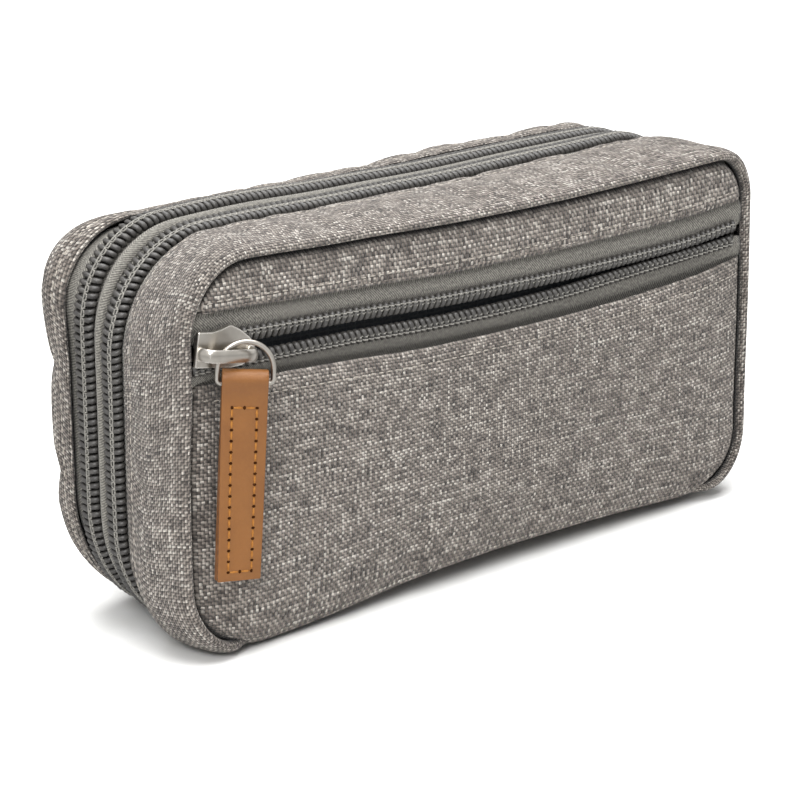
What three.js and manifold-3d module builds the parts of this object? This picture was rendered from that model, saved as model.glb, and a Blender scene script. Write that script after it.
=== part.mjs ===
import * as THREE from 'three';
import { mergeVertices } from 'three/addons/utils/BufferGeometryUtils.js';
import Module from 'manifold-3d';

const wasm = await Module();
wasm.setup();

// A soft zipped cooling case: a front shell with a zipped outside pocket, a narrow core with a
// divider, and a back shell. Two zips run round the ends and the top, and both shells fold down
// about the bottom edge. Millimetres, X along the case, front facing -Y, Z up, standing on z = 0.

// Outline of the case seen from the front
const caseLength = 200;
const caseHeight = 100;
const zipCornerRadius = 28;
const frontCornerRadius = 20;
const backCornerRadius = 18;

// Sheet thicknesses and the gap kept between neighbouring layers
const wall = 1.7;
const cloth = 1.2;
const pocketCloth = 0.8;
const liningThickness = 0.6;
const foamThickness = 3;
const boardThickness = 2.8;
const meshThickness = 0.8;
const elasticThickness = 0.9;
const clearance = 0.3;

// Rolled edges of the shells
const ridgeWidth = 3.2;
const panelRecess = 1.2;
const frontCrown = 2.3;
const backCrown = 2.6;
const crownInset = 24;
const crownShoulder = 0.75;
const mouthCrown = 1.4;
const mouthSlope = 18;
const gussetBulge = 0.7;
const lipRounding = 0.5;
const lipLength = 1;
const backEdgeRadius = 4;
const bindingWidth = 2.5;
const bindingThickness = 1.4;

// Zip chains, the same on all three zips
const coilWidth = 3.4;
const coilThickness = 2;
const coilProud = 0.3;
const coilChamfer = 0.6;
const coilGap = 1;
const tapeThickness = 0.6;
const tapeWidth = 8.5;
const bandWidth = 2;
const zipEndAngle = THREE.MathUtils.degToRad(70);
const hingeGap = 0.3;

// What the compartments hold, and the spare room in front of it
const loopRise = 10;
const loopSpan = 22;
const loopPitch = 25;
const loopCount = 3;
const penStrapWidth = 16;
const penStrapSpacing = 90;
const penStrapTab = 6;
const frontSpare = 6.2;
const gelLength = 118;
const gelHeight = 46;
const gelThickness = 8.2;
const gelEdge = 3.2;
const meshPocketLength = 132;
const meshPocketHeight = 58;
const meshPocketLift = 6;
const meshBindingHeight = 5;
const meshBindingThickness = 0.8;
const rearSpare = 2.8;

// Outside pocket on the front
const pocketDepth = 6.5;
const upperPanelHeight = 9.9;
const pocketMouth = 4.4;
const pocketCoilWidth = 2.6;
const upperTapeShown = 4.6;
const lowerTapeShown = 3.2;
const pocketTapeUnder = 3.5;

// Sliders: plates joined by a web that runs between the two halves of the chain
const plateThickness = 1.2;
const bottomPlateThickness = 0.9;
const pocketSlider = {
  length: 17,
  shoulder: 8.8,
  tail: 7.6,
  nose: 5,
  bottomWidth: 7.6,
  webLength: 5,
  webWidth: 2.6,
  bailLength: 14,
  bailShift: -1.5,
  bailWidth: 3.2,
  bailLeg: 1.75,
  bailThickness: 1,
  tunnel: 3,
};
const sliderSideGap = 1.6;
const zipSliderLength = 15;
const zipSliderTail = 7.6;
const zipSliderNose = 5;
const zipSliderBottomWidth = 6.6;
const zipSliderWebLength = 4;
const zipBailLength = 10;
const zipBailWidth = 2;
const zipBailLeg = 1.4;
const zipBailThickness = 1;
const zipTunnel = 2.4;
const pocketSliderInset = 11.7;
const parkRise = 14;

// D-rings and leather pulls
const pullEdgeGap = 0.3;
const pocketPull = { width: 11.8, length: 48.5, leather: 1.3, wire: 1.6, drop: 3 };
const zipPull = { width: 6.2, length: 22, leather: 1, wire: 1.4, drop: 2.8 };
const pullNeck = 1.1;
const pocketRingTwist = THREE.MathUtils.degToRad(30);
const pocketRingReach = 2;
const pocketRingDrop = 3.5;
const zipRingSeat = 2.2;

// Facets
const cornerSteps = 8;
const ringSteps = 28;
const wireSegments = 5;
const loopSteps = 10;
const smallestRadius = 1;

// Distances from the outside outline inwards
const tapeInset = Math.max(wall, coilThickness - coilProud) + clearance;
const innerInset = tapeInset + tapeThickness + clearance;
const panelInset = ridgeWidth;
const dividerLiningInset = innerInset + bottomPlateThickness + 2 * clearance;

// Zip planes: the band between the chains is the core's own edge
const zipEdge = coilGap / 2 + coilWidth + clearance;
const zipSpacing = bandWidth + 2 * zipEdge;
const yFrontZip = -zipSpacing / 2;
const yRearZip = zipSpacing / 2;

// Layers from the divider to the front
const dividerFace = boardThickness / 2 + clearance + liningThickness;
const yFrontLining = -(dividerFace + clearance + loopRise + elasticThickness + frontSpare);
const yFrontFoam = yFrontLining - liningThickness - clearance;
const yPocketBack = yFrontFoam - foamThickness - clearance;
const yPocketInside = yPocketBack - pocketCloth;
const yPanelInside = yPocketInside - pocketDepth;
const yPanel = yPanelInside - cloth;
const yFront = yPanel - panelRecess;

// Layers from the divider to the back
const meshInside = dividerFace + gelThickness + 2 * clearance;
const meshOutside = meshInside + meshThickness;
const yMeshBinding = meshOutside + clearance;
const yBackLining = yMeshBinding + meshBindingThickness + rearSpare;
const yBackFoam = yBackLining + liningThickness + clearance;
const yBackPanel = yBackFoam + foamThickness + clearance;
const yBack = yBackPanel + cloth;

// Heights of the pocket zip
const zUpperPanel = caseHeight - panelInset - upperPanelHeight;
const zPocketZip = zUpperPanel - upperTapeShown - pocketCoilWidth - pocketMouth / 2;
const zPocketPanel = zPocketZip - pocketMouth / 2 - pocketCoilWidth - lowerTapeShown;
const yPocketTape = yPanelInside + clearance;

// The chain's outer face, the tape's inner face and the room a slider needs around both
const channel = coilProud + tapeInset + tapeThickness + 2 * clearance;

const looks = {
  fabric: [0x8d8983, 0.95, 0],
  tape: [0x77766f, 0.9, 0],
  coil: [0x55565a, 0.55, 0],
  lining: [0x5d6065, 0.8, 0],
  foam: [0xd9d7d0, 0.95, 0],
  board: [0xc9c6bd, 0.9, 0],
  elastic: [0x3b3d40, 0.9, 0],
  mesh: [0x4a4c50, 0.85, 0],
  gel: [0x9cc3dc, 0.35, 0],
  metal: [0xb8b5ad, 0.35, 1],
  leather: [0xa0693a, 0.6, 0],
};

const cooling_case = new THREE.Group();

function piece(parent, name, geometry, look) {
  const [color, roughness, metalness] = looks[look];
  const material = new THREE.MeshStandardMaterial({ color, roughness, metalness });
  const mesh = new THREE.Mesh(geometry, material);
  mesh.name = name;
  parent.add(mesh);
  return mesh;
}

function group(parent) {
  const made = new THREE.Group();
  parent.add(made);
  return made;
}

// Solids from points and triangles, turned outward by the sign of their volume
function solid(points, triangles) {
  const corners = points.map((point) => new THREE.Vector3(...point));
  const cross = new THREE.Vector3();
  let volume = 0;
  for (const [a, b, c] of triangles) {
    volume += corners[a].dot(cross.crossVectors(corners[b], corners[c]));
  }
  const geometry = new THREE.BufferGeometry();
  geometry.setAttribute('position', new THREE.Float32BufferAttribute(points.flat(), 3));
  geometry.setIndex(triangles.flatMap(([a, b, c]) => (volume > 0 ? [a, b, c] : [a, c, b])));
  return geometry;
}

function box(x0, x1, y0, y1, z0, z1) {
  const geometry = new THREE.BoxGeometry(x1 - x0, y1 - y0, z1 - z0);
  return geometry.translate((x0 + x1) / 2, (y0 + y1) / 2, (z0 + z1) / 2);
}

function toManifold(geometry) {
  const bare = geometry.clone();
  bare.deleteAttribute('normal');
  bare.deleteAttribute('uv');
  const merged = mergeVertices(bare);
  return new wasm.Manifold(new wasm.Mesh({
    numProp: 3,
    vertProperties: new Float32Array(merged.attributes.position.array),
    triVerts: new Uint32Array(merged.index.array),
  }));
}

function fromManifold(manifold) {
  const mesh = manifold.getMesh();
  const geometry = new THREE.BufferGeometry();
  geometry.setAttribute('position', new THREE.BufferAttribute(mesh.vertProperties, 3));
  geometry.setIndex(new THREE.BufferAttribute(mesh.triVerts, 1));
  return geometry;
}

function join(...geometries) {
  return fromManifold(geometries.map(toManifold).reduce((whole, next) => whole.add(next)));
}

function cut(geometry, ...tools) {
  return fromManifold(tools.map(toManifold).reduce((rest, tool) => rest.subtract(tool), toManifold(geometry)));
}

function common(first, second) {
  return fromManifold(toManifold(first).intersect(toManifold(second)));
}

// The corner radius changes from the zips to the front ridge and to the back edge
function cornerRadiusAt(y) {
  const toFront = THREE.MathUtils.clamp((yFrontZip - y) / (yFrontZip - yFront), 0, 1);
  const toBack = THREE.MathUtils.clamp((y - yRearZip) / (yBack - yRearZip), 0, 1);
  const frontChange = (frontCornerRadius - zipCornerRadius) * toFront;
  const backChange = (backCornerRadius - zipCornerRadius) * toBack;
  return zipCornerRadius + frontChange + backChange;
}

function arcPoints(centreX, centreZ, radius, from, to) {
  return Array.from({ length: cornerSteps + 1 }, (_, step) => {
    const angle = from + ((to - from) * step) / cornerSteps;
    return [centreX + radius * Math.cos(angle), centreZ + radius * Math.sin(angle)];
  });
}

// The rounded outline at depth y, moved in by inset. A smaller end angle leaves the bottom open.
function outline(y, inset, endAngle = Math.PI / 2) {
  const radius = Math.max(cornerRadiusAt(y) - inset, smallestRadius);
  const side = caseLength / 2 - inset - radius;
  const low = Math.max(inset, 0) + radius;
  const high = caseHeight - inset - radius;
  return [
    ...arcPoints(-side, low, radius, Math.PI + endAngle, Math.PI),
    ...arcPoints(-side, high, radius, Math.PI, Math.PI / 2),
    ...arcPoints(side, high, radius, Math.PI / 2, 0),
    ...arcPoints(side, low, radius, 0, -endAngle),
  ];
}

function outlineRow(y, inset, endAngle) {
  return outline(y, inset, endAngle).map(([x, z]) => [x, y, z]);
}

function quads(rowCount, columnCount, closedRows, closedColumns, at) {
  const triangles = [];
  for (let row = 0; row < (closedRows ? rowCount : rowCount - 1); row += 1) {
    for (let column = 0; column < (closedColumns ? columnCount : columnCount - 1); column += 1) {
      const far = at(row + 1, column + 1);
      triangles.push([at(row, column), at(row, column + 1), far]);
      triangles.push([at(row, column), far, at(row + 1, column)]);
    }
  }
  return triangles;
}

// A section of [y, inset] corners carried round the whole outline
function hoop(section) {
  const rows = section.map(([y, inset]) => outlineRow(y, inset));
  const columns = rows[0].length;
  const at = (row, column) => (row % rows.length) * columns + (column % columns);
  return solid(rows.flat(), quads(rows.length, columns, true, true, at));
}

// Rows of points along a strip, one for each corner of its convex section, closed at both ends
function openStrip(rows) {
  const columns = rows[0].length;
  const at = (row, column) => (row % rows.length) * columns + column;
  const triangles = quads(rows.length, columns, true, false, at);
  for (let row = 1; row < rows.length - 1; row += 1) {
    triangles.push([at(0, 0), at(row, 0), at(row + 1, 0)]);
    triangles.push([at(0, columns - 1), at(row + 1, columns - 1), at(row, columns - 1)]);
  }
  return solid(rows.flat(), triangles);
}

// A convex section carried along the zip line, which stops inside the bottom corners
function zipStrip(section) {
  return openStrip(section.map(([y, inset]) => outlineRow(y, inset, zipEndAngle)));
}

// Outlines of [y, inset] joined in order, the first and the last closed across their middle
function loft(rings) {
  const rows = rings.map(([y, inset]) => outlineRow(y, inset));
  const columns = rows[0].length;
  const points = rows.flat();
  const first = points.push([0, rings[0][0], caseHeight / 2]) - 1;
  const last = points.push([0, rings.at(-1)[0], caseHeight / 2]) - 1;
  const at = (row, column) => row * columns + (column % columns);
  const triangles = quads(rows.length, columns, false, true, at);
  for (let column = 0; column < columns; column += 1) {
    triangles.push([first, at(0, column + 1), at(0, column)]);
    triangles.push([last, at(rows.length - 1, column), at(rows.length - 1, column + 1)]);
  }
  return solid(points, triangles);
}

function slab(y0, y1, inset) {
  return loft([[y0, inset], [y1, inset]]);
}

// A shallow tray lining a shell: a panel at yPanelFace with a rim that reaches to yRim
function tray(yPanelFace, yPanelOuter, yRim, inset) {
  const inside = inset + liningThickness;
  return loft([[yPanelOuter, inset], [yRim, inset], [yRim, inside], [yPanelFace, inside]]);
}

// The strip of bottom wall between the zip ends, which reaches the fold lines
function bottomLeaf(yFrom, yTo) {
  const start = zipEndAngle + hingeGap / zipCornerRadius;
  const section = [[yFrom, 0], [yTo, 0], [yTo, wall], [yFrom, wall]];
  const rows = section.map(([y, inset]) => {
    const radius = cornerRadiusAt(y) - inset;
    const side = caseLength / 2 - inset - radius;
    const left = arcPoints(-side, inset + radius, radius, Math.PI + start, Math.PI * 1.5);
    const right = arcPoints(side, inset + radius, radius, -Math.PI / 2, -start);
    return [...left, ...right].map(([x, z]) => [x, y, z]);
  });
  return openStrip(rows);
}

function tapeSection(yA, yB) {
  const inside = tapeInset + tapeThickness;
  return [[yA, tapeInset], [yB, tapeInset], [yB, inside], [yA, inside]];
}

function coilSection(yA, yB) {
  const inside = coilThickness - coilProud;
  const step = Math.sign(yB - yA) * coilChamfer;
  return [
    [yA, inside],
    [yA, coilChamfer - coilProud],
    [yA + step, -coilProud],
    [yB - step, -coilProud],
    [yB, coilChamfer - coilProud],
    [yB, inside],
  ];
}

function addZipHalf(parent, name, yZip, side, tapeReach) {
  const near = yZip + (side * coilGap) / 2;
  piece(parent, `${name}_tape`, zipStrip(tapeSection(near, near + side * tapeReach)), 'tape');
  piece(parent, `${name}_coil`, zipStrip(coilSection(near, near + side * coilWidth)), 'coil');
}

// Core: its edge band, the divider, and what the divider carries
function addCore(parent) {
  const core = group(parent);
  const band = bandWidth / 2;
  const leafHalf = zipSpacing / 2 - hingeGap;
  const edge = hoop([[-band, 0], [band, 0], [band, wall], [-band, wall]]);
  piece(core, 'core_band', join(edge, bottomLeaf(-leafHalf, leafHalf)), 'fabric');
  const tapeReach = zipSpacing / 2 - coilGap / 2 - clearance / 2;
  addZipHalf(core, 'front_zip_core_side', yFrontZip, 1, tapeReach);
  addZipHalf(core, 'rear_zip_core_side', yRearZip, -1, tapeReach);

  const boardFace = boardThickness / 2;
  const liningBack = boardFace + clearance;
  piece(core, 'divider_board', slab(-boardFace, boardFace, innerInset), 'board');
  piece(core, 'divider_lining_front', slab(-dividerFace, -liningBack, dividerLiningInset), 'lining');
  piece(core, 'divider_lining_rear', slab(liningBack, dividerFace, dividerLiningInset), 'lining');
  addPenStraps(core);
  addGelPocket(core);
}

// Elastic straps sewn to the divider, each with a row of loops for pens lying along the case
function penStrapGeometry() {
  const half = ((loopCount - 1) * loopPitch + loopSpan) / 2;
  const inner = [[-half - penStrapTab, 0]];
  for (let loop = 0; loop < loopCount; loop += 1) {
    const start = -half + loop * loopPitch;
    for (let step = 0; step <= loopSteps; step += 1) {
      const share = step / loopSteps;
      inner.push([start + loopSpan * share, loopRise * Math.sin(Math.PI * share)]);
    }
  }
  inner.push([half + penStrapTab, 0]);
  const outer = inner.map(([along, rise]) => [along, rise + elasticThickness]).reverse();
  const shape = new THREE.Shape([...inner, ...outer].map(([along, rise]) => new THREE.Vector2(along, rise)));
  const geometry = new THREE.ExtrudeGeometry(shape, { depth: penStrapWidth, bevelEnabled: false });
  return geometry.translate(0, 0, -penStrapWidth / 2);
}

// Turns a shape so that its own X points up, its Y to the front and its depth along the case
function setOnDivider(object) {
  const up = new THREE.Vector3(0, 0, 1);
  const front = new THREE.Vector3(0, -1, 0);
  const along = new THREE.Vector3(1, 0, 0);
  object.quaternion.setFromRotationMatrix(new THREE.Matrix4().makeBasis(up, front, along));
}

function addPenStraps(core) {
  for (const [name, side] of [['pen_strap_left', -1], ['pen_strap_right', 1]]) {
    const strap = piece(core, name, penStrapGeometry(), 'elastic');
    setOnDivider(strap);
    strap.position.set((side * penStrapSpacing) / 2, -dividerFace - clearance, caseHeight / 2);
  }
}

// A mesh pocket on the back of the divider with a gel pack in it
function addGelPocket(core) {
  const half = meshPocketLength / 2;
  const low = dividerLiningInset + meshPocketLift;
  const high = low + meshPocketHeight;
  const start = dividerFace + clearance;
  const bag = box(-half, half, start, meshOutside, low, high);
  const room = box(
    -half + meshThickness, half - meshThickness,
    start - meshThickness, meshInside,
    low + meshThickness, high + meshThickness,
  );
  piece(core, 'mesh_pocket', cut(bag, room), 'mesh');
  const bindingEnd = yMeshBinding + meshBindingThickness;
  const binding = box(-half, half, yMeshBinding, bindingEnd, high - meshBindingHeight, high);
  piece(core, 'mesh_pocket_binding', binding, 'elastic');

  const flat = gelThickness - 2 * gelEdge;
  const reachX = gelLength / 2 - gelEdge;
  const reachZ = gelHeight / 2 - gelEdge;
  const shape = new THREE.Shape();
  shape.moveTo(-reachX, -reachZ).lineTo(reachX, -reachZ).lineTo(reachX, reachZ).lineTo(-reachX, reachZ);
  const pack = new THREE.ExtrudeGeometry(shape, {
    depth: flat, bevelThickness: gelEdge, bevelSize: gelEdge, bevelSegments: 3,
  });
  const gel = piece(core, 'gel_pack', pack, 'gel');
  gel.rotation.x = Math.PI / 2;
  const yFar = start + gelThickness - gelEdge;
  gel.position.set(0, yFar, low + meshThickness + clearance + gelHeight / 2);
}

// Front shell
function ridgeSection() {
  const radius = ridgeWidth / 2 - clearance / 2;
  const points = [];
  const arcSteps = 6;
  for (let step = 0; step <= arcSteps; step += 1) {
    const angle = (Math.PI * step) / arcSteps;
    points.push([yFront + radius - radius * Math.sin(angle), radius - radius * Math.cos(angle)]);
  }
  return points;
}

function frontGusset() {
  const edge = yFrontZip - zipEdge;
  const ridgeBack = yFront + ridgeWidth;
  const ridgeFoot = ridgeWidth - clearance;
  const section = [
    [edge, lipRounding],
    [edge - lipLength, 0],
    [(edge + yFront) / 2, -gussetBulge],
    ...ridgeSection(),
    [ridgeBack, ridgeFoot],
    [ridgeBack + ridgeFoot - wall, wall],
    [edge, wall],
  ];
  return join(hoop(section), bottomLeaf(edge - lipLength, yFrontZip - hingeGap));
}

// A padded panel, flat inside and swelling outside to its crown, with most of it reached halfway in
function crownedPanel(yInside, yEdge, inset, crown) {
  return loft([
    [yInside, inset],
    [yEdge, inset],
    [yEdge + crownShoulder * crown, inset + crownInset / 2],
    [yEdge + crown, inset + crownInset],
  ]);
}

// The front panel before it is parted at the pocket zip
function frontPanelBlank() {
  return crownedPanel(yPanelInside, yPanel, panelInset, -frontCrown);
}

function upperPanel() {
  const half = caseLength / 2;
  const yClear = yPanel - 2 * frontCrown;
  return common(frontPanelBlank(), box(-half, half, yClear, yPanelInside + cloth, zUpperPanel, caseHeight));
}

// The pocket panel falls back towards the zip tape that it is sewn to
function pocketPanel() {
  const yBehind = yPanelInside + cloth;
  const yMouth = yPanel - mouthCrown;
  const yClear = yMouth - 2 * (frontCrown - mouthCrown);
  const zClear = zPocketPanel - 2 * mouthSlope;
  const corners = [[yBehind, 0], [yBehind, zPocketPanel], [yMouth, zPocketPanel], [yClear, zClear], [yClear, 0]];
  const shape = new THREE.Shape(corners.map(([y, z]) => new THREE.Vector2(y, z)));
  const across = new THREE.ExtrudeGeometry(shape, { depth: caseLength, bevelEnabled: false });
  const [alongX, alongY, alongZ] = [0, 1, 2].map((axis) => new THREE.Vector3().setComponent(axis, 1));
  across.applyMatrix4(new THREE.Matrix4().makeBasis(alongY, alongZ, alongX)).translate(-caseLength / 2, 0, 0);
  return common(frontPanelBlank(), across);
}

// A straight strip across the front, trimmed to the panel's outline
function frontStrip(yFrom, yTo, zFrom, zTo) {
  const half = caseLength / 2;
  return common(slab(yFrom, yTo, panelInset), box(-half, half, yFrom - cloth, yTo + cloth, zFrom, zTo));
}

function addPocketZip(shell) {
  const tapeBack = yPocketTape + tapeThickness;
  const coilBack = yPocketTape - clearance;
  const coilFront = coilBack - coilThickness;
  const mouth = pocketMouth / 2;
  const upperTape = [zPocketZip + mouth + clearance, zUpperPanel + pocketTapeUnder];
  const lowerTape = [zPocketPanel - pocketTapeUnder, zPocketZip - mouth - clearance];
  const upperCoil = [zPocketZip + mouth, zPocketZip + mouth + pocketCoilWidth];
  const lowerCoil = [zPocketZip - mouth - pocketCoilWidth, zPocketZip - mouth];
  piece(shell, 'pocket_zip_upper_tape', frontStrip(yPocketTape, tapeBack, ...upperTape), 'tape');
  piece(shell, 'pocket_zip_lower_tape', frontStrip(yPocketTape, tapeBack, ...lowerTape), 'tape');
  piece(shell, 'pocket_zip_upper_coil', frontStrip(coilFront, coilBack, ...upperCoil), 'coil');
  piece(shell, 'pocket_zip_lower_coil', frontStrip(coilFront, coilBack, ...lowerCoil), 'coil');
}

function seamBinding(yA, yB, inset) {
  const inside = inset + bindingThickness;
  return hoop([[yA, inset], [yB, inset], [yB, inside], [yA, inside]]);
}

function addFrontShell(parent) {
  const shell = group(parent);
  piece(shell, 'front_gusset', frontGusset(), 'fabric');
  piece(shell, 'front_panel_upper', upperPanel(), 'fabric');
  piece(shell, 'pocket_panel', pocketPanel(), 'fabric');
  addPocketZip(shell);
  const yBinding = yFront + 2 * ridgeWidth - wall + clearance;
  piece(shell, 'front_seam_binding', seamBinding(yBinding, yBinding + bindingWidth, wall + clearance), 'tape');
  piece(shell, 'pocket_back', slab(yPocketInside, yPocketBack, innerInset), 'lining');
  piece(shell, 'front_foam', slab(yFrontFoam - foamThickness, yFrontFoam, innerInset), 'foam');
  const yRim = yFrontZip - zipSliderBottomWidth / 2 - 2 * clearance;
  piece(shell, 'front_lining', tray(yFrontLining, yFrontLining - liningThickness, yRim, innerInset), 'lining');
  addZipHalf(shell, 'front_zip_shell_side', yFrontZip, -1, tapeWidth);
}

// Back shell
function backGusset() {
  const edge = yRearZip + zipEdge;
  const arcSteps = 5;
  const arc = (radius) => Array.from({ length: arcSteps + 1 }, (_, step) => {
    const angle = (Math.PI / 2) * (step / arcSteps);
    const centre = backEdgeRadius;
    return [yBack - centre + radius * Math.sin(angle), centre - radius * Math.cos(angle)];
  });
  const section = [
    [edge, lipRounding],
    [edge + lipLength, 0],
    ...arc(backEdgeRadius),
    ...arc(backEdgeRadius - wall).reverse(),
    [edge, wall],
  ];
  return join(hoop(section), bottomLeaf(yRearZip + hingeGap, edge + lipLength));
}

function addBackShell(parent) {
  const shell = group(parent);
  const backPanelInset = backEdgeRadius + clearance;
  const bindingBack = yBackPanel - clearance;
  const foamInset = backPanelInset + bindingThickness + clearance;
  piece(shell, 'back_gusset', backGusset(), 'fabric');
  piece(shell, 'back_panel', crownedPanel(yBackPanel, yBack, backPanelInset, backCrown), 'fabric');
  const binding = seamBinding(bindingBack - bindingThickness, bindingBack, backPanelInset);
  piece(shell, 'back_seam_binding', binding, 'tape');
  piece(shell, 'back_foam', slab(yBackFoam, yBackFoam + foamThickness, foamInset), 'foam');
  const yRim = yRearZip + zipSliderBottomWidth / 2 + 2 * clearance;
  piece(shell, 'back_lining', tray(yBackLining, yBackLining + liningThickness, yRim, innerInset), 'lining');
  addZipHalf(shell, 'rear_zip_shell_side', yRearZip, 1, tapeWidth);
}

// Sliders, drawn with X along the zip, Y across it and Z outward from the middle of the channel
function plate(length, tail, shoulder, nose, thickness) {
  const corners = [
    [-length / 2, tail / 2],
    [-length / 6, tail / 2],
    [0, shoulder / 2],
    [length / 8, shoulder / 2],
    [length / 2, nose / 2],
  ];
  const mirrored = corners.map(([x, y]) => [x, -y]).reverse();
  const shape = new THREE.Shape([...corners, ...mirrored].map(([x, y]) => new THREE.Vector2(x, y)));
  return new THREE.ExtrudeGeometry(shape, { depth: thickness, bevelEnabled: false });
}

// A low arch over the top plate, along the zip, with a tunnel across it for the ring
function bail({ bailLength, bailWidth, bailLeg, bailThickness, tunnel }) {
  const reach = bailLength / 2;
  const inner = reach - bailLeg;
  const top = tunnel + bailThickness;
  const foot = -plateThickness / 2;
  const shape = new THREE.Shape();
  shape.moveTo(-reach, foot);
  shape.lineTo(-reach, top - bailLeg);
  shape.absarc(-reach + bailLeg, top - bailLeg, bailLeg, Math.PI, Math.PI / 2, true);
  shape.lineTo(reach - bailLeg, top);
  shape.absarc(reach - bailLeg, top - bailLeg, bailLeg, Math.PI / 2, 0, true);
  shape.lineTo(reach, foot);
  shape.lineTo(inner, foot);
  shape.lineTo(inner, tunnel);
  shape.lineTo(-inner, tunnel);
  shape.lineTo(-inner, foot);
  const arch = new THREE.ExtrudeGeometry(shape, { depth: bailWidth, bevelEnabled: false, curveSegments: 4 });
  return arch.rotateX(Math.PI / 2).translate(0, bailWidth / 2, 0);
}

function sliderGeometry(size) {
  const half = channel / 2;
  const sink = plateThickness / 3;
  const { length, tail, shoulder, nose, bottomWidth, webLength, webWidth } = size;
  const top = plate(length, tail, shoulder, nose, plateThickness).translate(0, 0, half);
  const bottomTail = Math.min(tail, bottomWidth);
  const bottom = plate(length, bottomTail, bottomWidth, nose, bottomPlateThickness);
  bottom.translate(0, 0, -half - bottomPlateThickness);
  const web = box(
    length / 8 - webLength, length / 8, -webWidth / 2, webWidth / 2, -half - sink, half + sink,
  );
  const arch = bail(size).translate(size.bailShift, 0, half + plateThickness);
  return join(top, bottom, web, arch);
}

// D-ring and pull, drawn with the ring's arc about the origin, X along its bar, Y up, Z outward
function ringRadius({ width, wire }) {
  return width / 2 + pullEdgeGap + wire / 2;
}

function ringGeometry(size) {
  const { wire, drop } = size;
  const radius = ringRadius(size);
  const points = [new THREE.Vector3(-radius, -drop, 0)];
  const arcSteps = 12;
  for (let step = 0; step <= arcSteps; step += 1) {
    const angle = Math.PI * (1 - step / arcSteps);
    points.push(new THREE.Vector3(radius * Math.cos(angle), radius * Math.sin(angle), 0));
  }
  points.push(new THREE.Vector3(radius, -drop, 0));
  const section = new THREE.Shape().absarc(0, 0, wire / 2, 0, 2 * Math.PI);
  const arch = new THREE.ExtrudeGeometry(section, {
    extrudePath: new THREE.CatmullRomCurve3(points),
    steps: ringSteps,
    curveSegments: wireSegments,
    bevelEnabled: false,
  });
  const bar = new THREE.CylinderGeometry(wire / 2, wire / 2, 2 * radius + wire, 2 * wireSegments);
  bar.rotateZ(Math.PI / 2).translate(0, -drop, 0);
  return join(arch, bar);
}

function pullGeometry({ width, length, leather, wire, drop }) {
  const bore = wire / 2 + clearance;
  const fold = bore + leather;
  const turn = Math.PI / 4;
  const shape = new THREE.Shape();
  shape.moveTo(-leather, -drop - length);
  shape.lineTo(-leather, -drop - fold - pullNeck);
  shape.absarc(0, -drop, fold, Math.PI + turn, -turn, true);
  shape.lineTo(leather, -drop - fold - pullNeck);
  shape.lineTo(leather, -drop - length);
  shape.holes.push(new THREE.Path().absarc(0, -drop, bore, 0, 2 * Math.PI));
  const strap = new THREE.ExtrudeGeometry(shape, { depth: width, bevelEnabled: false, curveSegments: 6 });
  return strap.rotateY(-Math.PI / 2).translate(width / 2, 0, 0);
}

function addPocketSlider(parent) {
  const slider = group(parent);
  const channelMiddle = yPocketTape - clearance - coilThickness - clearance + channel / 2;
  slider.position.set(-caseLength / 2 + pocketSliderInset, channelMiddle, zPocketZip);
  const body = piece(slider, 'pocket_zip_slider', sliderGeometry(pocketSlider), 'metal');
  body.rotation.x = Math.PI / 2;

  const hanger = group(slider);
  const tunnelMiddle = channel / 2 + plateThickness + pocketSlider.tunnel / 2;
  const limb = ringRadius(pocketPull);
  const stand = tunnelMiddle + Math.sqrt(limb ** 2 - pocketRingDrop ** 2) * Math.sin(pocketRingTwist);
  hanger.position.set(pocketRingReach, -stand, -pocketRingDrop);
  hanger.rotation.z = -pocketRingTwist;
  const upright = group(hanger);
  upright.rotation.x = Math.PI / 2;
  piece(upright, 'pocket_zip_ring', ringGeometry(pocketPull), 'metal');
  piece(upright, 'pocket_zip_pull', pullGeometry(pocketPull), 'leather');
}

// The two perimeter sliders stand closed, side by side, low on the right end
function addZipSlider(parent, name, yZip) {
  const size = {
    length: zipSliderLength,
    shoulder: zipSpacing - sliderSideGap,
    tail: zipSliderTail,
    nose: zipSliderNose,
    bottomWidth: zipSliderBottomWidth,
    webLength: zipSliderWebLength,
    webWidth: coilGap - 2 * clearance,
    bailLength: zipBailLength,
    bailShift: 0,
    bailWidth: zipBailWidth,
    bailLeg: zipBailLeg,
    bailThickness: zipBailThickness,
    tunnel: zipTunnel,
  };
  const up = new THREE.Vector3(0, 0, 1);
  const out = new THREE.Vector3(1, 0, 0);
  const back = new THREE.Vector3(0, 1, 0);
  const slider = group(parent);
  const channelMiddle = caseLength / 2 + coilProud + clearance - channel / 2;
  slider.position.set(channelMiddle, yZip, zipCornerRadius + parkRise);
  const body = piece(slider, `${name}_slider`, sliderGeometry(size), 'metal');
  body.quaternion.setFromRotationMatrix(new THREE.Matrix4().makeBasis(up, back.clone().negate(), out));

  const hanger = group(slider);
  const tunnelMiddle = channel / 2 + plateThickness + zipTunnel / 2;
  hanger.position.set(tunnelMiddle, 0, -zipRingSeat - ringRadius(zipPull));
  hanger.quaternion.setFromRotationMatrix(new THREE.Matrix4().makeBasis(back, up, out));
  piece(hanger, `${name}_ring`, ringGeometry(zipPull), 'metal');
  piece(hanger, `${name}_pull`, pullGeometry(zipPull), 'leather');
}

addCore(cooling_case);
addFrontShell(cooling_case);
addBackShell(cooling_case);
addPocketSlider(cooling_case);
addZipSlider(cooling_case, 'front_zip', yFrontZip);
addZipSlider(cooling_case, 'rear_zip', yRearZip);

export default cooling_case;
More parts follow.
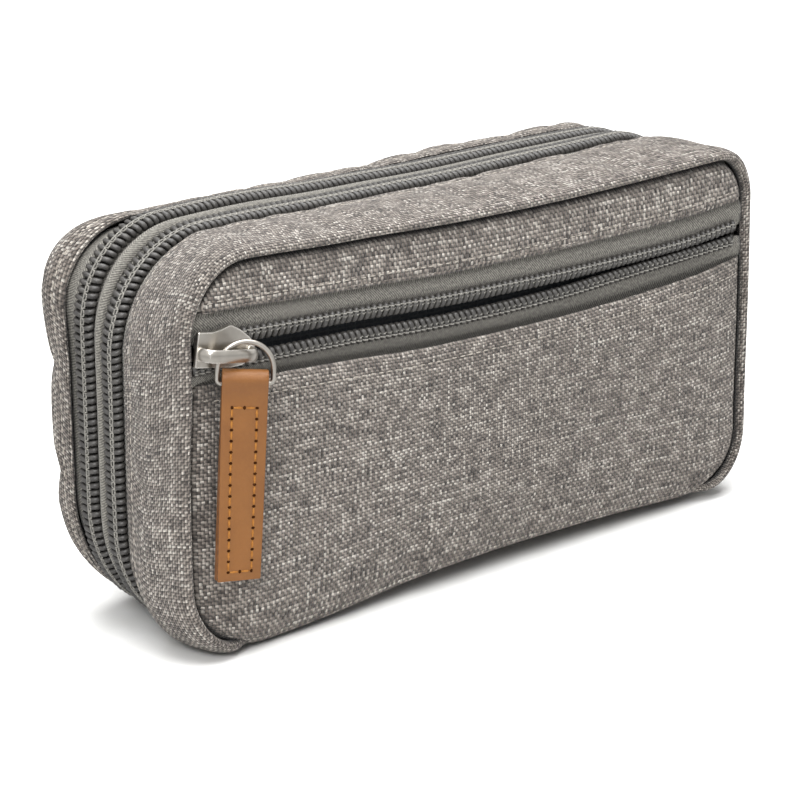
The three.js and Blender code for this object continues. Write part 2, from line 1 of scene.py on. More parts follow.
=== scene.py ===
# %% [markdown]
# # A soft case with two zips round it, dressed over its solid frame
# The frame is a plain solid model of a small cooling case for insulin pens: a narrow core with a divider, a
# front shell with a zipped outside pocket, and a back shell. Both shells fold down about the bottom edge.
# Every cell below makes one thing that the solids only stand for: woven cloth, coil zips, a nickel slider,
# stitched leather. The frame is loaded first, because it says where each piece goes.

# %% Load the frame
import math

import bmesh
import bpy
from mathutils import Matrix, Vector, noise
from mathutils.bvhtree import BVHTree


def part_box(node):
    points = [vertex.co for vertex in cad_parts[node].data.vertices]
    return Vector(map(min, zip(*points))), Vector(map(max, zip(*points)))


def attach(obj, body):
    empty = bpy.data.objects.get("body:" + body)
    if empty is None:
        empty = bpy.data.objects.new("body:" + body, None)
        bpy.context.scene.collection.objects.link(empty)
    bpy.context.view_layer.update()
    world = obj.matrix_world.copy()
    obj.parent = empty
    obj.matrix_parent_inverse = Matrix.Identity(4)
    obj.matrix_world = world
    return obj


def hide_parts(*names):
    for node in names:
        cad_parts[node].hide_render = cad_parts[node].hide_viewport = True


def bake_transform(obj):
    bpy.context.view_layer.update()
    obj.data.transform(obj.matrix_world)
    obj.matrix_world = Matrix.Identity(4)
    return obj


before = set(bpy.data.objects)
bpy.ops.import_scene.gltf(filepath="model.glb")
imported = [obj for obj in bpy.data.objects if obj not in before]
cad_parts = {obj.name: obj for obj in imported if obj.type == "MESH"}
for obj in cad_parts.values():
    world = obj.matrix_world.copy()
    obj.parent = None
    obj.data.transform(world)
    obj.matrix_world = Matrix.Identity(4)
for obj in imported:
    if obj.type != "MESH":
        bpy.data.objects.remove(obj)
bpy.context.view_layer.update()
scene = bpy.context.scene
MM = 0.001

# %% [markdown]
# ## Camera
# The camera stands where the photographer stood: to the left of the front and a little above, far off with
# a long lens, so the box hardly tapers. The three axes of the camera are worked out from the two angles and
# put into its matrix as columns, which is exact, where a Track To constraint would leave the small roll
# out.

# %% Camera
AZIMUTH, ELEVATION, ROLL = (math.radians(angle) for angle in (-42.8, 16.2, -0.32))
STAND_OFF = 693.0
AIM_SIDE, AIM_UP, AIM_Y = -23.5, 45.4, -32.6
LENS = 119.4

back = Vector((math.sin(AZIMUTH) * math.cos(ELEVATION), -math.cos(AZIMUTH) * math.cos(ELEVATION),
               math.sin(ELEVATION)))
level = Vector((math.cos(AZIMUTH), math.sin(AZIMUTH), 0))
roll = Matrix.Rotation(ROLL, 3, back)
across, above = roll @ level, roll @ back.cross(level)
eye = Vector((0, AIM_Y, 0)) + back * STAND_OFF + across * AIM_SIDE + above * AIM_UP

camera = bpy.data.objects.new("camera", bpy.data.cameras.new("camera"))
camera.data.sensor_width = 36
camera.data.lens = LENS
camera.data.clip_start = 0.05
camera.matrix_world = Matrix.Translation(eye * MM) @ Matrix((across, above, back)).transposed().to_4x4()
scene.collection.objects.link(camera)
scene.camera = camera
print("camera at", [round(c, 3) for c in camera.matrix_world.translation])

# %% [markdown]
# ## One way to add a shader node
# Every finish below is a small tree of shader nodes. One function adds any node: it sets the node's own
# properties and a colour ramp's stops, and then plugs a value, a socket or another node into each input
# that is named. Colours are written as they look on a screen, and one function turns such a hex code into
# the linear values that shaders work in.

# %% Shader helpers
def linear(code):
    """The linear RGBA of an sRGB hex code such as "8d8983"."""
    shares = [int(code[k:k + 2], 16) / 255 for k in (0, 2, 4)]
    return (*(c / 12.92 if c <= 0.04045 else ((c + 0.055) / 1.055) ** 2.4 for c in shares), 1.0)


def plug(node, inputs):
    """Gives a node's inputs values, sockets or the first output of other nodes."""
    for name, value in dict(inputs).items():
        if isinstance(value, bpy.types.Node):
            value = next(socket for socket in value.outputs if socket.enabled)
        if isinstance(value, bpy.types.NodeSocket):
            node.id_data.links.new(value, node.inputs[name])
        else:
            node.inputs[name].default_value = value


def add(tree, kind, inputs=(), stops=(), **settings):
    """Adds one node with its settings and inputs; stops are a colour ramp's (place, hex code) pairs."""
    made = tree.nodes.new("ShaderNode" + kind)
    for name, value in settings.items():
        setattr(made, name, value)
    for k, (place, code) in enumerate(stops):
        step = made.color_ramp.elements[k] if k < 2 else made.color_ramp.elements.new(place)
        step.position = place
        step.color = linear(code)
    plug(made, inputs)
    return made


def finish(name, **surface):
    """A new material, its tree and its Principled shader, with the values that are the same all over."""
    material = bpy.data.materials.new(name)
    material.use_nodes = True
    shader = material.node_tree.nodes["Principled BSDF"]
    plug(shader, {socket.replace("_", " "): value for socket, value in surface.items()})
    return material, material.node_tree, shader


print("helpers for shaders")

# %% [markdown]
# ## Light and floor
# The case was lit softly from all round, a little more from above, on a white sweep. A pale world gives the
# even part, and a large lamp overhead gives the tops their lighter tone and the floor a soft shadow. The
# world is pure white only to the camera and to reflections, and the floor glows white only to the camera, so
# the white costs the case no extra light. Close to the case that glow fades with ambient occlusion, a painted
# contact shadow round its foot. In reflections the floor shows grey, a painted darker reflection for the
# metal. A shell that is folded down hangs lower than the foot of the standing case. So the floor is cut away,
# for the camera alone, over whatever lies below it, and it throws no shadow down there.

# %% Light and floor
AMBIENT = 0.32
world = bpy.data.worlds.new("sweep")
world.use_nodes = True
scene.world = world
tree = world.node_tree
ray = add(tree, "LightPath").outputs
seen = add(tree, "Math", {0: ray["Is Camera Ray"], 1: ray["Is Glossy Ray"]}, operation="MAXIMUM")
seen = add(tree, "Math", {0: seen, 1: ray["Is Transmission Ray"]}, operation="MAXIMUM")
way_up = add(tree, "SeparateXYZ", {0: add(tree, "TexCoord").outputs["Generated"]}).outputs["Z"]
sky = add(tree, "MapRange", {"Value": way_up, "From Max": 0.01, "To Max": AMBIENT})
glow = add(tree, "MapRange", {"Value": seen, "To Min": sky, "To Max": 1.0})
plug(tree.nodes["Background"], {"Color": linear("ffffff"), "Strength": glow})


CASE_MIDDLE = Vector((0, 0, 50))


def lamp(name, place, size, watts):
    """A square soft box at place, facing the case, in millimetres."""
    data = bpy.data.lights.new(name, "AREA")
    data.size = size * MM
    data.energy = watts
    made = bpy.data.objects.new(name, data)
    way = (Vector(place) - CASE_MIDDLE).normalized()
    turn = way.to_track_quat("Z", "Y").to_matrix().to_4x4()
    made.matrix_world = Matrix.Translation(Vector(place) * MM) @ turn
    scene.collection.objects.link(made)


lamp("overhead", (-60, -60, 900), size=900, watts=16.0)
lamp("left_front", (-740, -540, 620), size=320, watts=5.4)

FLOOR_REACH = 4
floor_mesh = bmesh.new()
bmesh.ops.create_grid(floor_mesh, x_segments=1, y_segments=1, size=FLOOR_REACH)
floor = bpy.data.objects.new("floor", bpy.data.meshes.new("floor"))
floor_mesh.to_mesh(floor.data)
floor_mesh.free()
floor.visible_shadow = False
scene.collection.objects.link(floor)

FLOOR_GLOW = 0.66
PAINTED_SHADOW_REACH, PAINTED_SHADOW_POWER = 0.03, 4.0
WINDOW, WINDOW_EDGE = 0.15, 0.7
sweep, tree, shader = finish("white_sweep", Roughness=0.9)
floor.data.materials.append(sweep)
ray = add(tree, "LightPath").outputs
speckle = add(tree, "TexNoise", {"Scale": 900.0, "Detail": 2.0})
paper_and_painted_reflection = add(tree, "ValToRGB", {"Fac": speckle}, stops=((0.3, "f2f2f0"), (0.7, "f7f7f6")))
# Painted reflection: to reflections the floor shows grey instead of its white, so the metal reflects a darker
# floor.
paper_and_painted_reflection = add(tree, "Mix", {0: ray["Is Glossy Ray"], 6: paper_and_painted_reflection, 7: linear("b0b0b0")}, data_type="RGBA")
# Painted contact shadow: the floor's camera glow fades where ambient occlusion finds the case close by.
painted_shadow_fade = add(tree, "AmbientOcclusion", {"Distance": PAINTED_SHADOW_REACH}).outputs["AO"]
painted_shadow_fade = add(tree, "Math", {0: painted_shadow_fade, 1: PAINTED_SHADOW_POWER}, operation="POWER")
glow = add(tree, "Math", {0: ray["Is Camera Ray"], 1: FLOOR_GLOW}, operation="MULTIPLY")
glow = add(tree, "Math", {0: glow, 1: painted_shadow_fade}, operation="MULTIPLY")
plug(shader, {"Base Color": paper_and_painted_reflection, "Emission Color": linear("ffffff"), "Emission Strength": glow})
below = add(tree, "AmbientOcclusion", {"Distance": WINDOW}, inside=True, samples=16).outputs["AO"]
window = add(tree, "Math", {0: below, 1: WINDOW_EDGE}, operation="LESS_THAN")
window = add(tree, "Math", {0: window, 1: ray["Is Camera Ray"]}, operation="MULTIPLY")
window = add(tree, "MixShader", {0: window, 1: shader, 2: add(tree, "BsdfTransparent")})
plug(tree.nodes["Material Output"], {"Surface": window})
scene.view_settings.view_transform = "Standard"
print("two lamps, a white world and a floor")

# %% [markdown]
# ## The outer cloth: melange plain weave
# The case is sewn from heavy polyester plain weave. Its yarns are spun from light and dark fibres, so each
# yarn changes tone along its length, and here and there a thick pale slub runs for a few millimetres. The
# pattern is worked out on the flat cut of each panel, which its UV map holds in metres: which warp and weft
# yarn a point lies on, which of the two is on top there, and how high it stands. Yarn spacing on the real
# cloth is about 0.8 mm, which just shows. A bump alone is too weak at that size, so light and shade are also
# painted into the colour: painted shade at the sides and ends of each yarn, a painted highlight on the flank
# towards the upper left and painted shade on the other, and painted shade where the cloth dives into a seam.

# %% Melange cloth
YARN = 0.00084
YARN_WANDER = 0.0006
TONE_RUNS, TONE_SEED = (0.22, 0.14), 0.5
SLUB_RUNS, SLUB_SEED = (0.05, 0.035), 11.5
YARN_STEP, WEFT_SHIFT = 3.713, 40.0
FLAT_ACROSS, FLAT_ALONG = 3.6, 2.6
SEAM_SHADE_REACH = 0.005

melange, tree, shader = finish("melange_polyester_plain_weave", Roughness=0.93, Sheen_Weight=0.12,
                               Sheen_Roughness=0.6)
cut = add(tree, "UVMap", uv_map="cut")
wander = add(tree, "TexNoise", {"Vector": cut, "Scale": 130.0, "Detail": 1.0}).outputs["Color"]
wander = add(tree, "VectorMath", {0: wander, "Scale": YARN_WANDER}, operation="SCALE")
yarns = add(tree, "VectorMath", {0: cut, 1: wander}, operation="ADD")
yarns = add(tree, "VectorMath", {0: yarns, "Scale": 1 / YARN}, operation="SCALE")
place = add(tree, "SeparateXYZ", {"Vector": yarns}).outputs
warp, weft = (add(tree, "Math", {0: place[axis]}, operation="FLOOR") for axis in "XY")
both = add(tree, "Math", {0: warp, 1: weft}, operation="ADD")
over = add(tree, "Math", {0: both, 1: 2.0}, operation="FLOORED_MODULO")


def yarn_value(seed, runs):
    """Noise that changes from yarn to yarn and slowly along each, for whichever yarn is on top."""
    values = []
    for shift, yarn, along, run in ((seed, warp, "Y", runs[0]), (seed + WEFT_SHIFT, weft, "X", runs[1])):
        step = add(tree, "Math", {0: yarn, 1: YARN_STEP, 2: shift}, operation="MULTIPLY_ADD")
        length = add(tree, "Math", {0: place[along], 1: run}, operation="MULTIPLY")
        spot = add(tree, "CombineXYZ", {"X": step, "Y": length})
        tone = add(tree, "TexNoise", {"Vector": spot, "Scale": 1.0, "Detail": 1.5}, noise_dimensions="2D")
        values.append(tone)
    return add(tree, "Mix", {"Factor": over, "A": values[0], "B": values[1]})


def crown(across, along):
    """The round back of a yarn, dipping where it goes under its neighbours."""
    parts = []
    for axis, flatness in ((across, FLAT_ACROSS), (along, FLAT_ALONG)):
        spot = add(tree, "Math", {0: place[axis]}, operation="FRACT")
        spot = add(tree, "Math", {0: spot, 1: 0.5}, operation="SUBTRACT")
        spot = add(tree, "Math", {0: spot, 1: spot}, operation="MULTIPLY")
        parts.append(add(tree, "Math", {0: spot, 1: -flatness, 2: 1.0}, operation="MULTIPLY_ADD"))
    return add(tree, "Math", {0: parts[0], 1: parts[1]}, operation="MULTIPLY")


fibre_and_painted_light = add(tree, "ValToRGB", {"Fac": yarn_value(TONE_SEED, TONE_RUNS)},
            stops=((0.25, "4a433e"), (0.44, "897f77"), (0.58, "b1a79d"), (0.75, "ece4da")))
slub = add(tree, "MapRange", {"Value": yarn_value(SLUB_SEED, SLUB_RUNS), "From Min": 0.67, "From Max": 0.75})
fibre_and_painted_light = add(tree, "Mix", {"Factor": slub, 6: fibre_and_painted_light, 7: linear("e6dfd5")}, data_type="RGBA")
height = add(tree, "Mix", {"Factor": over, "A": crown("X", "Y"), "B": crown("Y", "X")})
# Painted flank light: each float is lighter on its flank towards the upper left and darker on the other, as a
# lamp from there would light it.
painted_flank_lights = []
for axis, sign in (("X", -1.0), ("Y", 1.0)):
    spot = add(tree, "Math", {0: place[axis]}, operation="FRACT")
    painted_flank_lights.append(add(tree, "Math", {0: spot, 1: sign, 2: 0.5 - 0.5 * sign}, operation="MULTIPLY_ADD"))
painted_flank_light = add(tree, "Mix", {"Factor": over, "A": painted_flank_lights[0], "B": painted_flank_lights[1]})
# Painted seam shade: ambient occlusion darkens the cloth's colour in creases and where it dives into a seam.
painted_seam_shade = add(tree, "AmbientOcclusion", {"Distance": SEAM_SHADE_REACH}, samples=4).outputs["AO"]
# Painted light and shade multiplied into the colour: painted shade in the gaps and at the ends of each yarn,
# the painted flank light, and the painted seam shade.
for value, stops in ((height, ((0.05, "9a9a9a"), (0.6, "ffffff"))),
                     (painted_flank_light, ((0.05, "707070"), (0.5, "bababa"), (0.9, "ffffff"))),
                     (painted_seam_shade, ((0.25, "484848"), (0.8, "ffffff")))):
    shade = add(tree, "ValToRGB", {"Fac": value}, stops=stops)
    fibre_and_painted_light = add(tree, "Mix", {0: 1.0, 6: fibre_and_painted_light, 7: shade}, data_type="RGBA", blend_type="MULTIPLY")
plug(shader, {"Base Color": fibre_and_painted_light,
              "Normal": add(tree, "Bump", {"Height": height, "Strength": 1.0, "Distance": 0.0003})})
print("cloth with", round(1 / YARN / 100, 1), "yarns to the centimetre")

# %% [markdown]
# ## Zip tape, coil and thread
# Zip tape is a tight herringbone twill of grey polyester. The coil is one nylon filament wound into a flat
# spiral and sewn to the tape with paler thread. The filament is drawn and dyed, so it is smooth and has a
# soft shine along its back, while the thread is twisted from two plies. The twill is laid out on the flat
# cut, as the weave is.

# %% Tape, coil and thread
TWILL = 0.00075
CHEVRON = 0.0026


def ribbed(material, pitch, weight, fuzz_scale, stops, bump, chevron=None):
    """Gives a finish raised ribs along its flat cut, with fuzz, and in a zigzag if chevron is given."""
    tree = material.node_tree
    cut = add(tree, "UVMap", uv_map="cut")
    place = add(tree, "SeparateXYZ", {"Vector": cut}).outputs
    ribs = place["X"]
    if chevron:
        zig = add(tree, "Math", {0: place["Y"], 1: chevron}, operation="PINGPONG")
        ribs = add(tree, "Math", {0: ribs, 1: zig}, operation="ADD")
    ribs = add(tree, "Math", {0: ribs, 1: math.tau / pitch}, operation="MULTIPLY")
    ribs = add(tree, "Math", {0: ribs}, operation="SINE")
    fuzz = add(tree, "TexNoise", {"Vector": cut, "Scale": fuzz_scale, "Detail": 2.0})
    ribs = add(tree, "Math", {0: ribs, 1: weight, 2: fuzz}, operation="MULTIPLY_ADD")
    plug(tree.nodes["Principled BSDF"],
         {"Base Color": add(tree, "ValToRGB", {"Fac": ribs}, stops=stops),
          "Normal": add(tree, "Bump", {"Height": ribs, "Strength": bump[0], "Distance": bump[1]})})


def speckled(name, scale, stops, bump, **surface):
    """A finish whose tone wanders with a noise of that many cells to the metre, which also roughens it."""
    material, tree, shader = finish(name, **surface)
    where = add(tree, "TexCoord").outputs["Object"]
    grain = add(tree, "TexNoise", {"Vector": where, "Scale": scale, "Detail": 3.0})
    plug(shader, {"Base Color": add(tree, "ValToRGB", {"Fac": grain}, stops=stops),
                  "Normal": add(tree, "Bump", {"Height": grain, "Strength": 0.4, "Distance": bump})})
    return material


tape = finish("polyester_herringbone_tape", Roughness=0.85, Sheen_Weight=0.1)[0]
ribbed(tape, TWILL, 0.22, 1500.0, ((0.25, "4a4844"), (0.5, "6e6b65"), (0.8, "918e86")), (0.5, 0.0001),
       CHEVRON)
coil_nylon = speckled("drawn_nylon_filament", 700.0, ((0.3, "353332"), (0.7, "4c4a47")), 0.00003,
                      Roughness=0.42, IOR=1.53)
coil_thread = speckled("grey_polyester_sewing_thread", 2200.0, ((0.3, "6f6d68"), (0.7, "99968f")), 0.00005,
                       Roughness=0.8)
cloth_thread = speckled("melange_sewing_thread", 2200.0, ((0.3, "8d867d"), (0.7, "b9b2a8")), 0.00005,
                        Roughness=0.85)
print("tape twill every", TWILL / MM, "mm")

# %% [markdown]
# ## Nickel and leather
# The slider and the rings are zinc castings and steel wire with a satin nickel plate: a metal with a warm
# grey reflection, tumbled to a fine haze that blurs it. Along its edges, which a Bevel node finds, the colour
# is painted lighter, a painted highlight where the edges catch the light. The pulls are vegetable-tanned
# cowhide, dyed tan: a fine pebble of pores on the grain side, a tone that drifts from place to place, and a
# darker, burnished cut edge.

# %% Nickel and leather
EDGE_HIGHLIGHT_REACH = 0.0007
nickel, tree, shader = finish("satin_nickel_plate", Metallic=1.0)
where = add(tree, "TexCoord").outputs["Object"]
haze = add(tree, "TexNoise", {"Vector": where, "Scale": 2600.0, "Detail": 3.0})
wear = add(tree, "TexNoise", {"Vector": where, "Scale": 240.0, "Detail": 2.0})
plate = add(tree, "ValToRGB", {"Fac": wear}, stops=((0.3, "aaa59d"), (0.7, "bbb6ae")))
# Painted highlight: where the rounded normal of the Bevel node turns from the true one, at an edge, the
# colour is mixed towards near white.
softened = add(tree, "Bevel", {"Radius": EDGE_HIGHLIGHT_REACH}, samples=6)
facing = add(tree, "NewGeometry").outputs["Normal"]
turned = add(tree, "VectorMath", {0: softened, 1: facing}, operation="DOT_PRODUCT").outputs["Value"]
edge = add(tree, "MapRange", {"Value": turned, "From Min": 0.99, "From Max": 0.9})
plug(shader, {"Base Color": add(tree, "Mix", {0: edge, 6: plate, 7: linear("f4f1ea")}, data_type="RGBA"),
              "Roughness": add(tree, "MapRange", {"Value": haze, "To Min": 0.26, "To Max": 0.34}),
              "Normal": add(tree, "Bump", {"Height": haze, "Strength": 0.05, "Distance": 0.00003})})

PORE = 0.0007
leather, tree, shader = finish("tan_cowhide_grain_side", Roughness=0.52, IOR=1.48)
where = add(tree, "TexCoord").outputs["Object"]
pores = add(tree, "TexVoronoi", {"Vector": where, "Scale": 1 / PORE})
drift = add(tree, "TexNoise", {"Vector": where, "Scale": 130.0, "Detail": 4.0})
tone = add(tree, "Math", {0: pores, 1: -0.14, 2: drift}, operation="MULTIPLY_ADD")
plug(shader, {"Base Color": add(tree, "ValToRGB", {"Fac": tone},
                                stops=((0.25, "784a1b"), (0.5, "7f501e"), (0.75, "845320"))),
              "Normal": add(tree, "Bump", {"Height": pores, "Strength": 0.35, "Distance": 0.00012})})

leather_edge = speckled("burnished_leather_edge", 900.0, ((0.3, "5f3a1d"), (0.7, "7d5029")), 0.00008,
                        Roughness=0.45)
leather_thread = speckled("waxed_orange_thread", 2200.0, ((0.3, "8e5a26"), (0.7, "ab7535")), 0.00004,
                          Roughness=0.7, Specular_IOR_Level=0.2)
# Painted shade: a needle hole is a small dark ball where the hole lies in shadow.
needle_hole_painted_shade = speckled("painted_shade_in_needle_hole", 1500.0, ((0.3, "2a1608"), (0.7, "3f230f")), 0.00004,
                       Roughness=0.9, Specular_IOR_Level=0.0)
print("nickel, leather, edge, thread")

# %% [markdown]
# ## Finishes of the inside
# Inside, the shells are lined with thin dark taffeta over closed-cell foam, the divider is a foam board,
# the loops are ribbed elastic, the pocket is knitted net and the cold pack is a gel in clear blue film.
# Taffeta yarns are about 0.2 mm apart, too fine to show, so the grid that is drawn is a coarser ripstop
# one, every 3 mm.

# %% Inside finishes
RIPSTOP = 0.003
RIB = 0.0011
taffeta, tree, shader = finish("ripstop_taffeta_lining", Roughness=0.6, Sheen_Weight=0.1)
cut = add(tree, "UVMap", uv_map="cut")
lines = add(tree, "TexBrick", {"Vector": cut, "Scale": 1 / RIPSTOP, "Mortar Size": 0.08, "Brick Width": 1.0,
                               "Row Height": 1.0}, offset=0.0).outputs["Fac"]
fuzz = add(tree, "TexNoise", {"Vector": cut, "Scale": 1800.0, "Detail": 2.0})
weave = add(tree, "Math", {0: lines, 1: 0.25, 2: fuzz}, operation="MULTIPLY_ADD")
plug(shader, {"Base Color": add(tree, "ValToRGB", {"Fac": weave},
                                stops=((0.25, "46494e"), (0.6, "585c62"), (0.9, "6d7178"))),
              "Normal": add(tree, "Bump", {"Height": weave, "Strength": 0.4, "Distance": 0.0001})})

elastic = finish("ribbed_elastic_webbing", Roughness=0.85)[0]
ribbed(elastic, RIB, 0.2, 1600.0, ((0.2, "26282b"), (0.8, "4c4f54")), (0.6, 0.0002))
foam = speckled("closed_cell_foam", 900.0, ((0.3, "c9c6be"), (0.7, "e3e0d8")), 0.0003, Roughness=0.95)
board = speckled("foam_board", 600.0, ((0.3, "b9b5ab"), (0.7, "d3cfc5")), 0.0002, Roughness=0.9)
net = speckled("knitted_nylon_net", 1800.0, ((0.3, "3c3e42"), (0.7, "55575c")), 0.00005, Roughness=0.7)
gel = speckled("gel_in_clear_blue_film", 60.0, ((0.3, "8fbad6"), (0.7, "b3d6ea")), 0.0006,
               Roughness=0.22, Coat_Weight=0.6, Coat_Roughness=0.15)
print("taffeta, foam, board, net, gel, elastic")

# %% [markdown]
# ## The outline and how the cloth has settled
# Seen from the front, the case is a rounded rectangle whose corners are wider at the zips than at the front
# and the back. Every strip of cloth follows that outline, so one function gives a point on it: a leg of the
# outline, a share of that leg, a depth and a distance inwards. Cloth is never as straight as a drawing,
# though. On the real case the pocket's lines hang down in the middle, the top edge dips and the bottom edge
# arches up between the corners, so a second function moves each point of every soft piece, and neighbours
# stay neighbours.

# %% Outline
def lowest(node):
    """The lowest corner of a solid, in millimetres."""
    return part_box(node)[0] / MM


def highest(node):
    """The highest corner of a solid, in millimetres."""
    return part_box(node)[1] / MM


HALF = highest("core_band").x
HEIGHT = highest("core_band").z
FRONT = lowest("front_gusset").y
BACK = highest("back_gusset").y
FRONT_ZIP = (highest("front_zip_shell_side_coil").y + lowest("front_zip_core_side_coil").y) / 2
REAR_ZIP = (highest("rear_zip_core_side_coil").y + lowest("rear_zip_shell_side_coil").y) / 2
MIDDLE = HEIGHT / 2
# Corner radii at five depths from the front to the back, for the bottom left, top left, top right and
# bottom right corner.
RADIUS_DEPTHS = (FRONT, FRONT + 13, FRONT_ZIP, REAR_ZIP, BACK)
CORNER_RADII = {1: (19, 17, 29, 33, 37), 3: (20, 24, 28, 23, 14), 5: (13, 18, 26, 25, 24),
                7: (20, 18, 28, 28, 28)}
# A corner that is moved inwards keeps at least these shares of the room there and of its drawn radius.
ROUND_OF_ROOM, ROUND_OF_DRAWN = 0.35, 0.5


def blend_in(value, start, end):
    """0 before start, 1 after end and a smooth step between them."""
    share = min(max((value - start) / (end - start), 0), 1)
    return share * share * (3 - 2 * share)


def along_depths(depths, values, y):
    """A smooth value at depth y, from values at a few depths."""
    out = values[0]
    for near, far, before, after in zip(depths, depths[1:], values, values[1:]):
        out += (after - before) * blend_in(y, near, far)
    return out


def outline(leg, share, y, inset):
    """A point of the outline at depth y, moved in by inset. The legs run from the middle of the bottom to the
    left, up, along the top, down and back to the middle, with the corners as legs 1, 3, 5 and 7."""
    end, foot, top = HALF - inset, max(inset, 0), HEIGHT - inset
    corners = {}
    for corner, radii in CORNER_RADII.items():
        drawn = along_depths(RADIUS_DEPTHS, radii, y)
        least = min(ROUND_OF_ROOM * (MIDDLE - inset), ROUND_OF_DRAWN * drawn)
        radius = max(drawn - inset, least, 0)
        x = radius - end if corner < 5 else end - radius
        corners[corner] = (x, top - radius if corner in (3, 5) else foot + radius, radius)
    if leg in corners:
        x, z, radius = corners[leg]
        angle = math.radians(315 - 45 * leg - 90 * share)
        return Vector((x + radius * math.cos(angle), y, z + radius * math.sin(angle)))
    ends = {0: ((0, foot), (corners[1][0], foot)), 2: ((-end, corners[1][1]), (-end, corners[3][1])),
            4: ((corners[3][0], top), (corners[5][0], top)), 6: ((end, corners[5][1]), (end, corners[7][1])),
            8: ((corners[7][0], foot), (0, foot))}
    (x0, z0), (x1, z1) = ends[leg]
    return Vector((x0 + (x1 - x0) * share, y, z0 + (z1 - z0) * share))


def stations(*legs):
    """Stations along the outline, from (leg, first share, last share, steps)."""
    run = [(leg, start + (end - start) * k / steps) for leg, start, end, steps in legs for k in range(steps)]
    return run + [(legs[-1][0], legs[-1][2])]


ZIP_END = 20 / 90
OVER = ((2, 0, 1, 18), (3, 0, 1, 14), (4, 0, 1, 56), (5, 0, 1, 14), (6, 0, 1, 18))
ALL_ROUND = stations((0, 0, 1, 28), (1, 0, 1, 14), *OVER, (7, 0, 1, 14), (8, 0, 1, 28))
ZIP_LINE = stations((1, ZIP_END, 1, 12), *OVER, (7, 0, 1 - ZIP_END, 12))
UNDER = stations((7, 1 - ZIP_END, 1, 4), (8, 0, 1, 28), (0, 0, 1, 28), (1, 0, ZIP_END, 4))
print("case", 2 * HALF, "x", HEIGHT, "mm, front at", round(FRONT, 1), "back at", round(BACK, 1))

# %% Settling
# How far each line of the front has moved up or down, in millimetres, at nine places from left to right.
SUNK = (
    (0.0, (0.0, 0.3, 1.4, 3.5, 4.2, 4.1, 3.4, 2.1, 0.4)),
    (69.5, (0.0, -0.6, -2.0, -3.5, -4.3, -4.3, -3.8, -2.2, 0.0)),
    (74.0, (-0.6, -1.1, -1.7, -2.6, -3.3, -2.9, -1.7, -0.4, 0.6)),
    (81.0, (-0.7, -1.5, -2.6, -3.7, -4.5, -5.0, -5.2, -4.4, -2.2)),
    (86.9, (-0.3, -1.1, -2.4, -3.4, -3.9, -4.1, -4.0, -3.2, -1.4)),
    (96.8, (0.6, 0.4, -0.5, -1.1, -1.3, -1.3, -0.9, 0.2, 0.8)),
    (100.0, (0.6, 0.4, -0.5, -1.1, -1.3, -1.3, -0.9, 0.2, 0.8)),
)
BEHIND_SHARE = 0.3
# How far the top has risen behind the front, at the zips and at the back, at the same nine places.
RISEN_DEPTHS = (FRONT_ZIP, REAR_ZIP, BACK)
RISEN = ((-0.6, 0.0, 0.4, 0.5, 0.9, 1.5, 2.0, 3.0, 2.2), (0.6, 1.8, 2.5, 2.1, 1.8, 2.3, 2.7, 2.7, 1.3),
         (-1.2, -1.1, -0.8, -0.2, 0.4, 1.5, 1.6, 1.7, -0.6))
# How far the right end spreads at the front, the left end at the back and the front's left edge turns in, and
# between which places each of them fades.
RIGHT_SPREAD, LEFT_SPREAD, LEFT_TURN = 1.9, 1.8, 1.6
RIGHT_FROM, LEFT_FROM, LEFT_HEIGHTS = 60, 70, (66, 88)
TURN_FOOT, TURN_HEAD, TOP_HEIGHTS = (4, 22), (46, 72), (55, 92)
# The noise starts from the clock unless it is given a seed, and each run has to give the same cloth.
RIPPLE, RIPPLE_LENGTH, RIPPLE_SEED = 0.45, 38, 349
BACK_CALM, CALM_FOOT = 0.7, 12
noise.seed_set(RIPPLE_SEED)


def along_length(values, x):
    """A smooth curve through values that are evenly spaced over the case's length."""
    spot = min(max((x / HALF + 1) / 2, 0), 1) * (len(values) - 1)
    k = min(int(spot), len(values) - 2)
    a, b, c, d = (values[min(max(k + step, 0), len(values) - 1)] for step in (-1, 0, 1, 2))
    t = spot - k
    return b + 0.5 * t * (c - a + t * (2 * a - 5 * b + 4 * c - d + t * (3 * (b - c) + d - a)))


def sunk(x, z):
    """How far a point of the front has moved up or down, between two of the lines above."""
    for (low, before), (high, after) in zip(SUNK, SUNK[1:]):
        if z <= high or high == SUNK[-1][0]:
            share = min(max((z - low) / (high - low), 0), 1)
            return (1 - share) * along_length(before, x) + share * along_length(after, x)


def settle(point):
    """Where a point of the drawn case lies once its cloth has settled."""
    x, y, z = point
    front_share, top_share = blend_in(-y, -FRONT_ZIP, -FRONT - 4), blend_in(z, *TOP_HEIGHTS)
    risen = along_depths(RISEN_DEPTHS, [along_length(row, x) for row in RISEN], y)
    behind = BEHIND_SHARE * (1 - top_share) * sunk(x, z) + top_share * risen
    lift = front_share * sunk(x, z) + (1 - front_share) * behind
    spread = RIGHT_SPREAD * front_share * blend_in(x, RIGHT_FROM, HALF)
    left_share = blend_in(y, REAR_ZIP, BACK - 5) * blend_in(-x, LEFT_FROM, HALF)
    spread -= LEFT_SPREAD * left_share * blend_in(z, *LEFT_HEIGHTS)
    turn = LEFT_TURN * front_share * blend_in(-x, HALF - 18, HALF - 5)
    turn *= blend_in(z, *TURN_FOOT) * (1 - blend_in(z, *TURN_HEAD))
    ripple = noise.noise_vector(Vector((x, y * 1.5, z)) / RIPPLE_LENGTH) * RIPPLE
    ripple *= 1 - BACK_CALM * blend_in(y, REAR_ZIP, BACK - 4)
    ripple.z *= blend_in(z, 0, CALM_FOOT)
    return Vector((x + spread, y + turn, z + lift)) + ripple


print("pocket line sinks", SUNK[1][1][4], "mm in the middle")

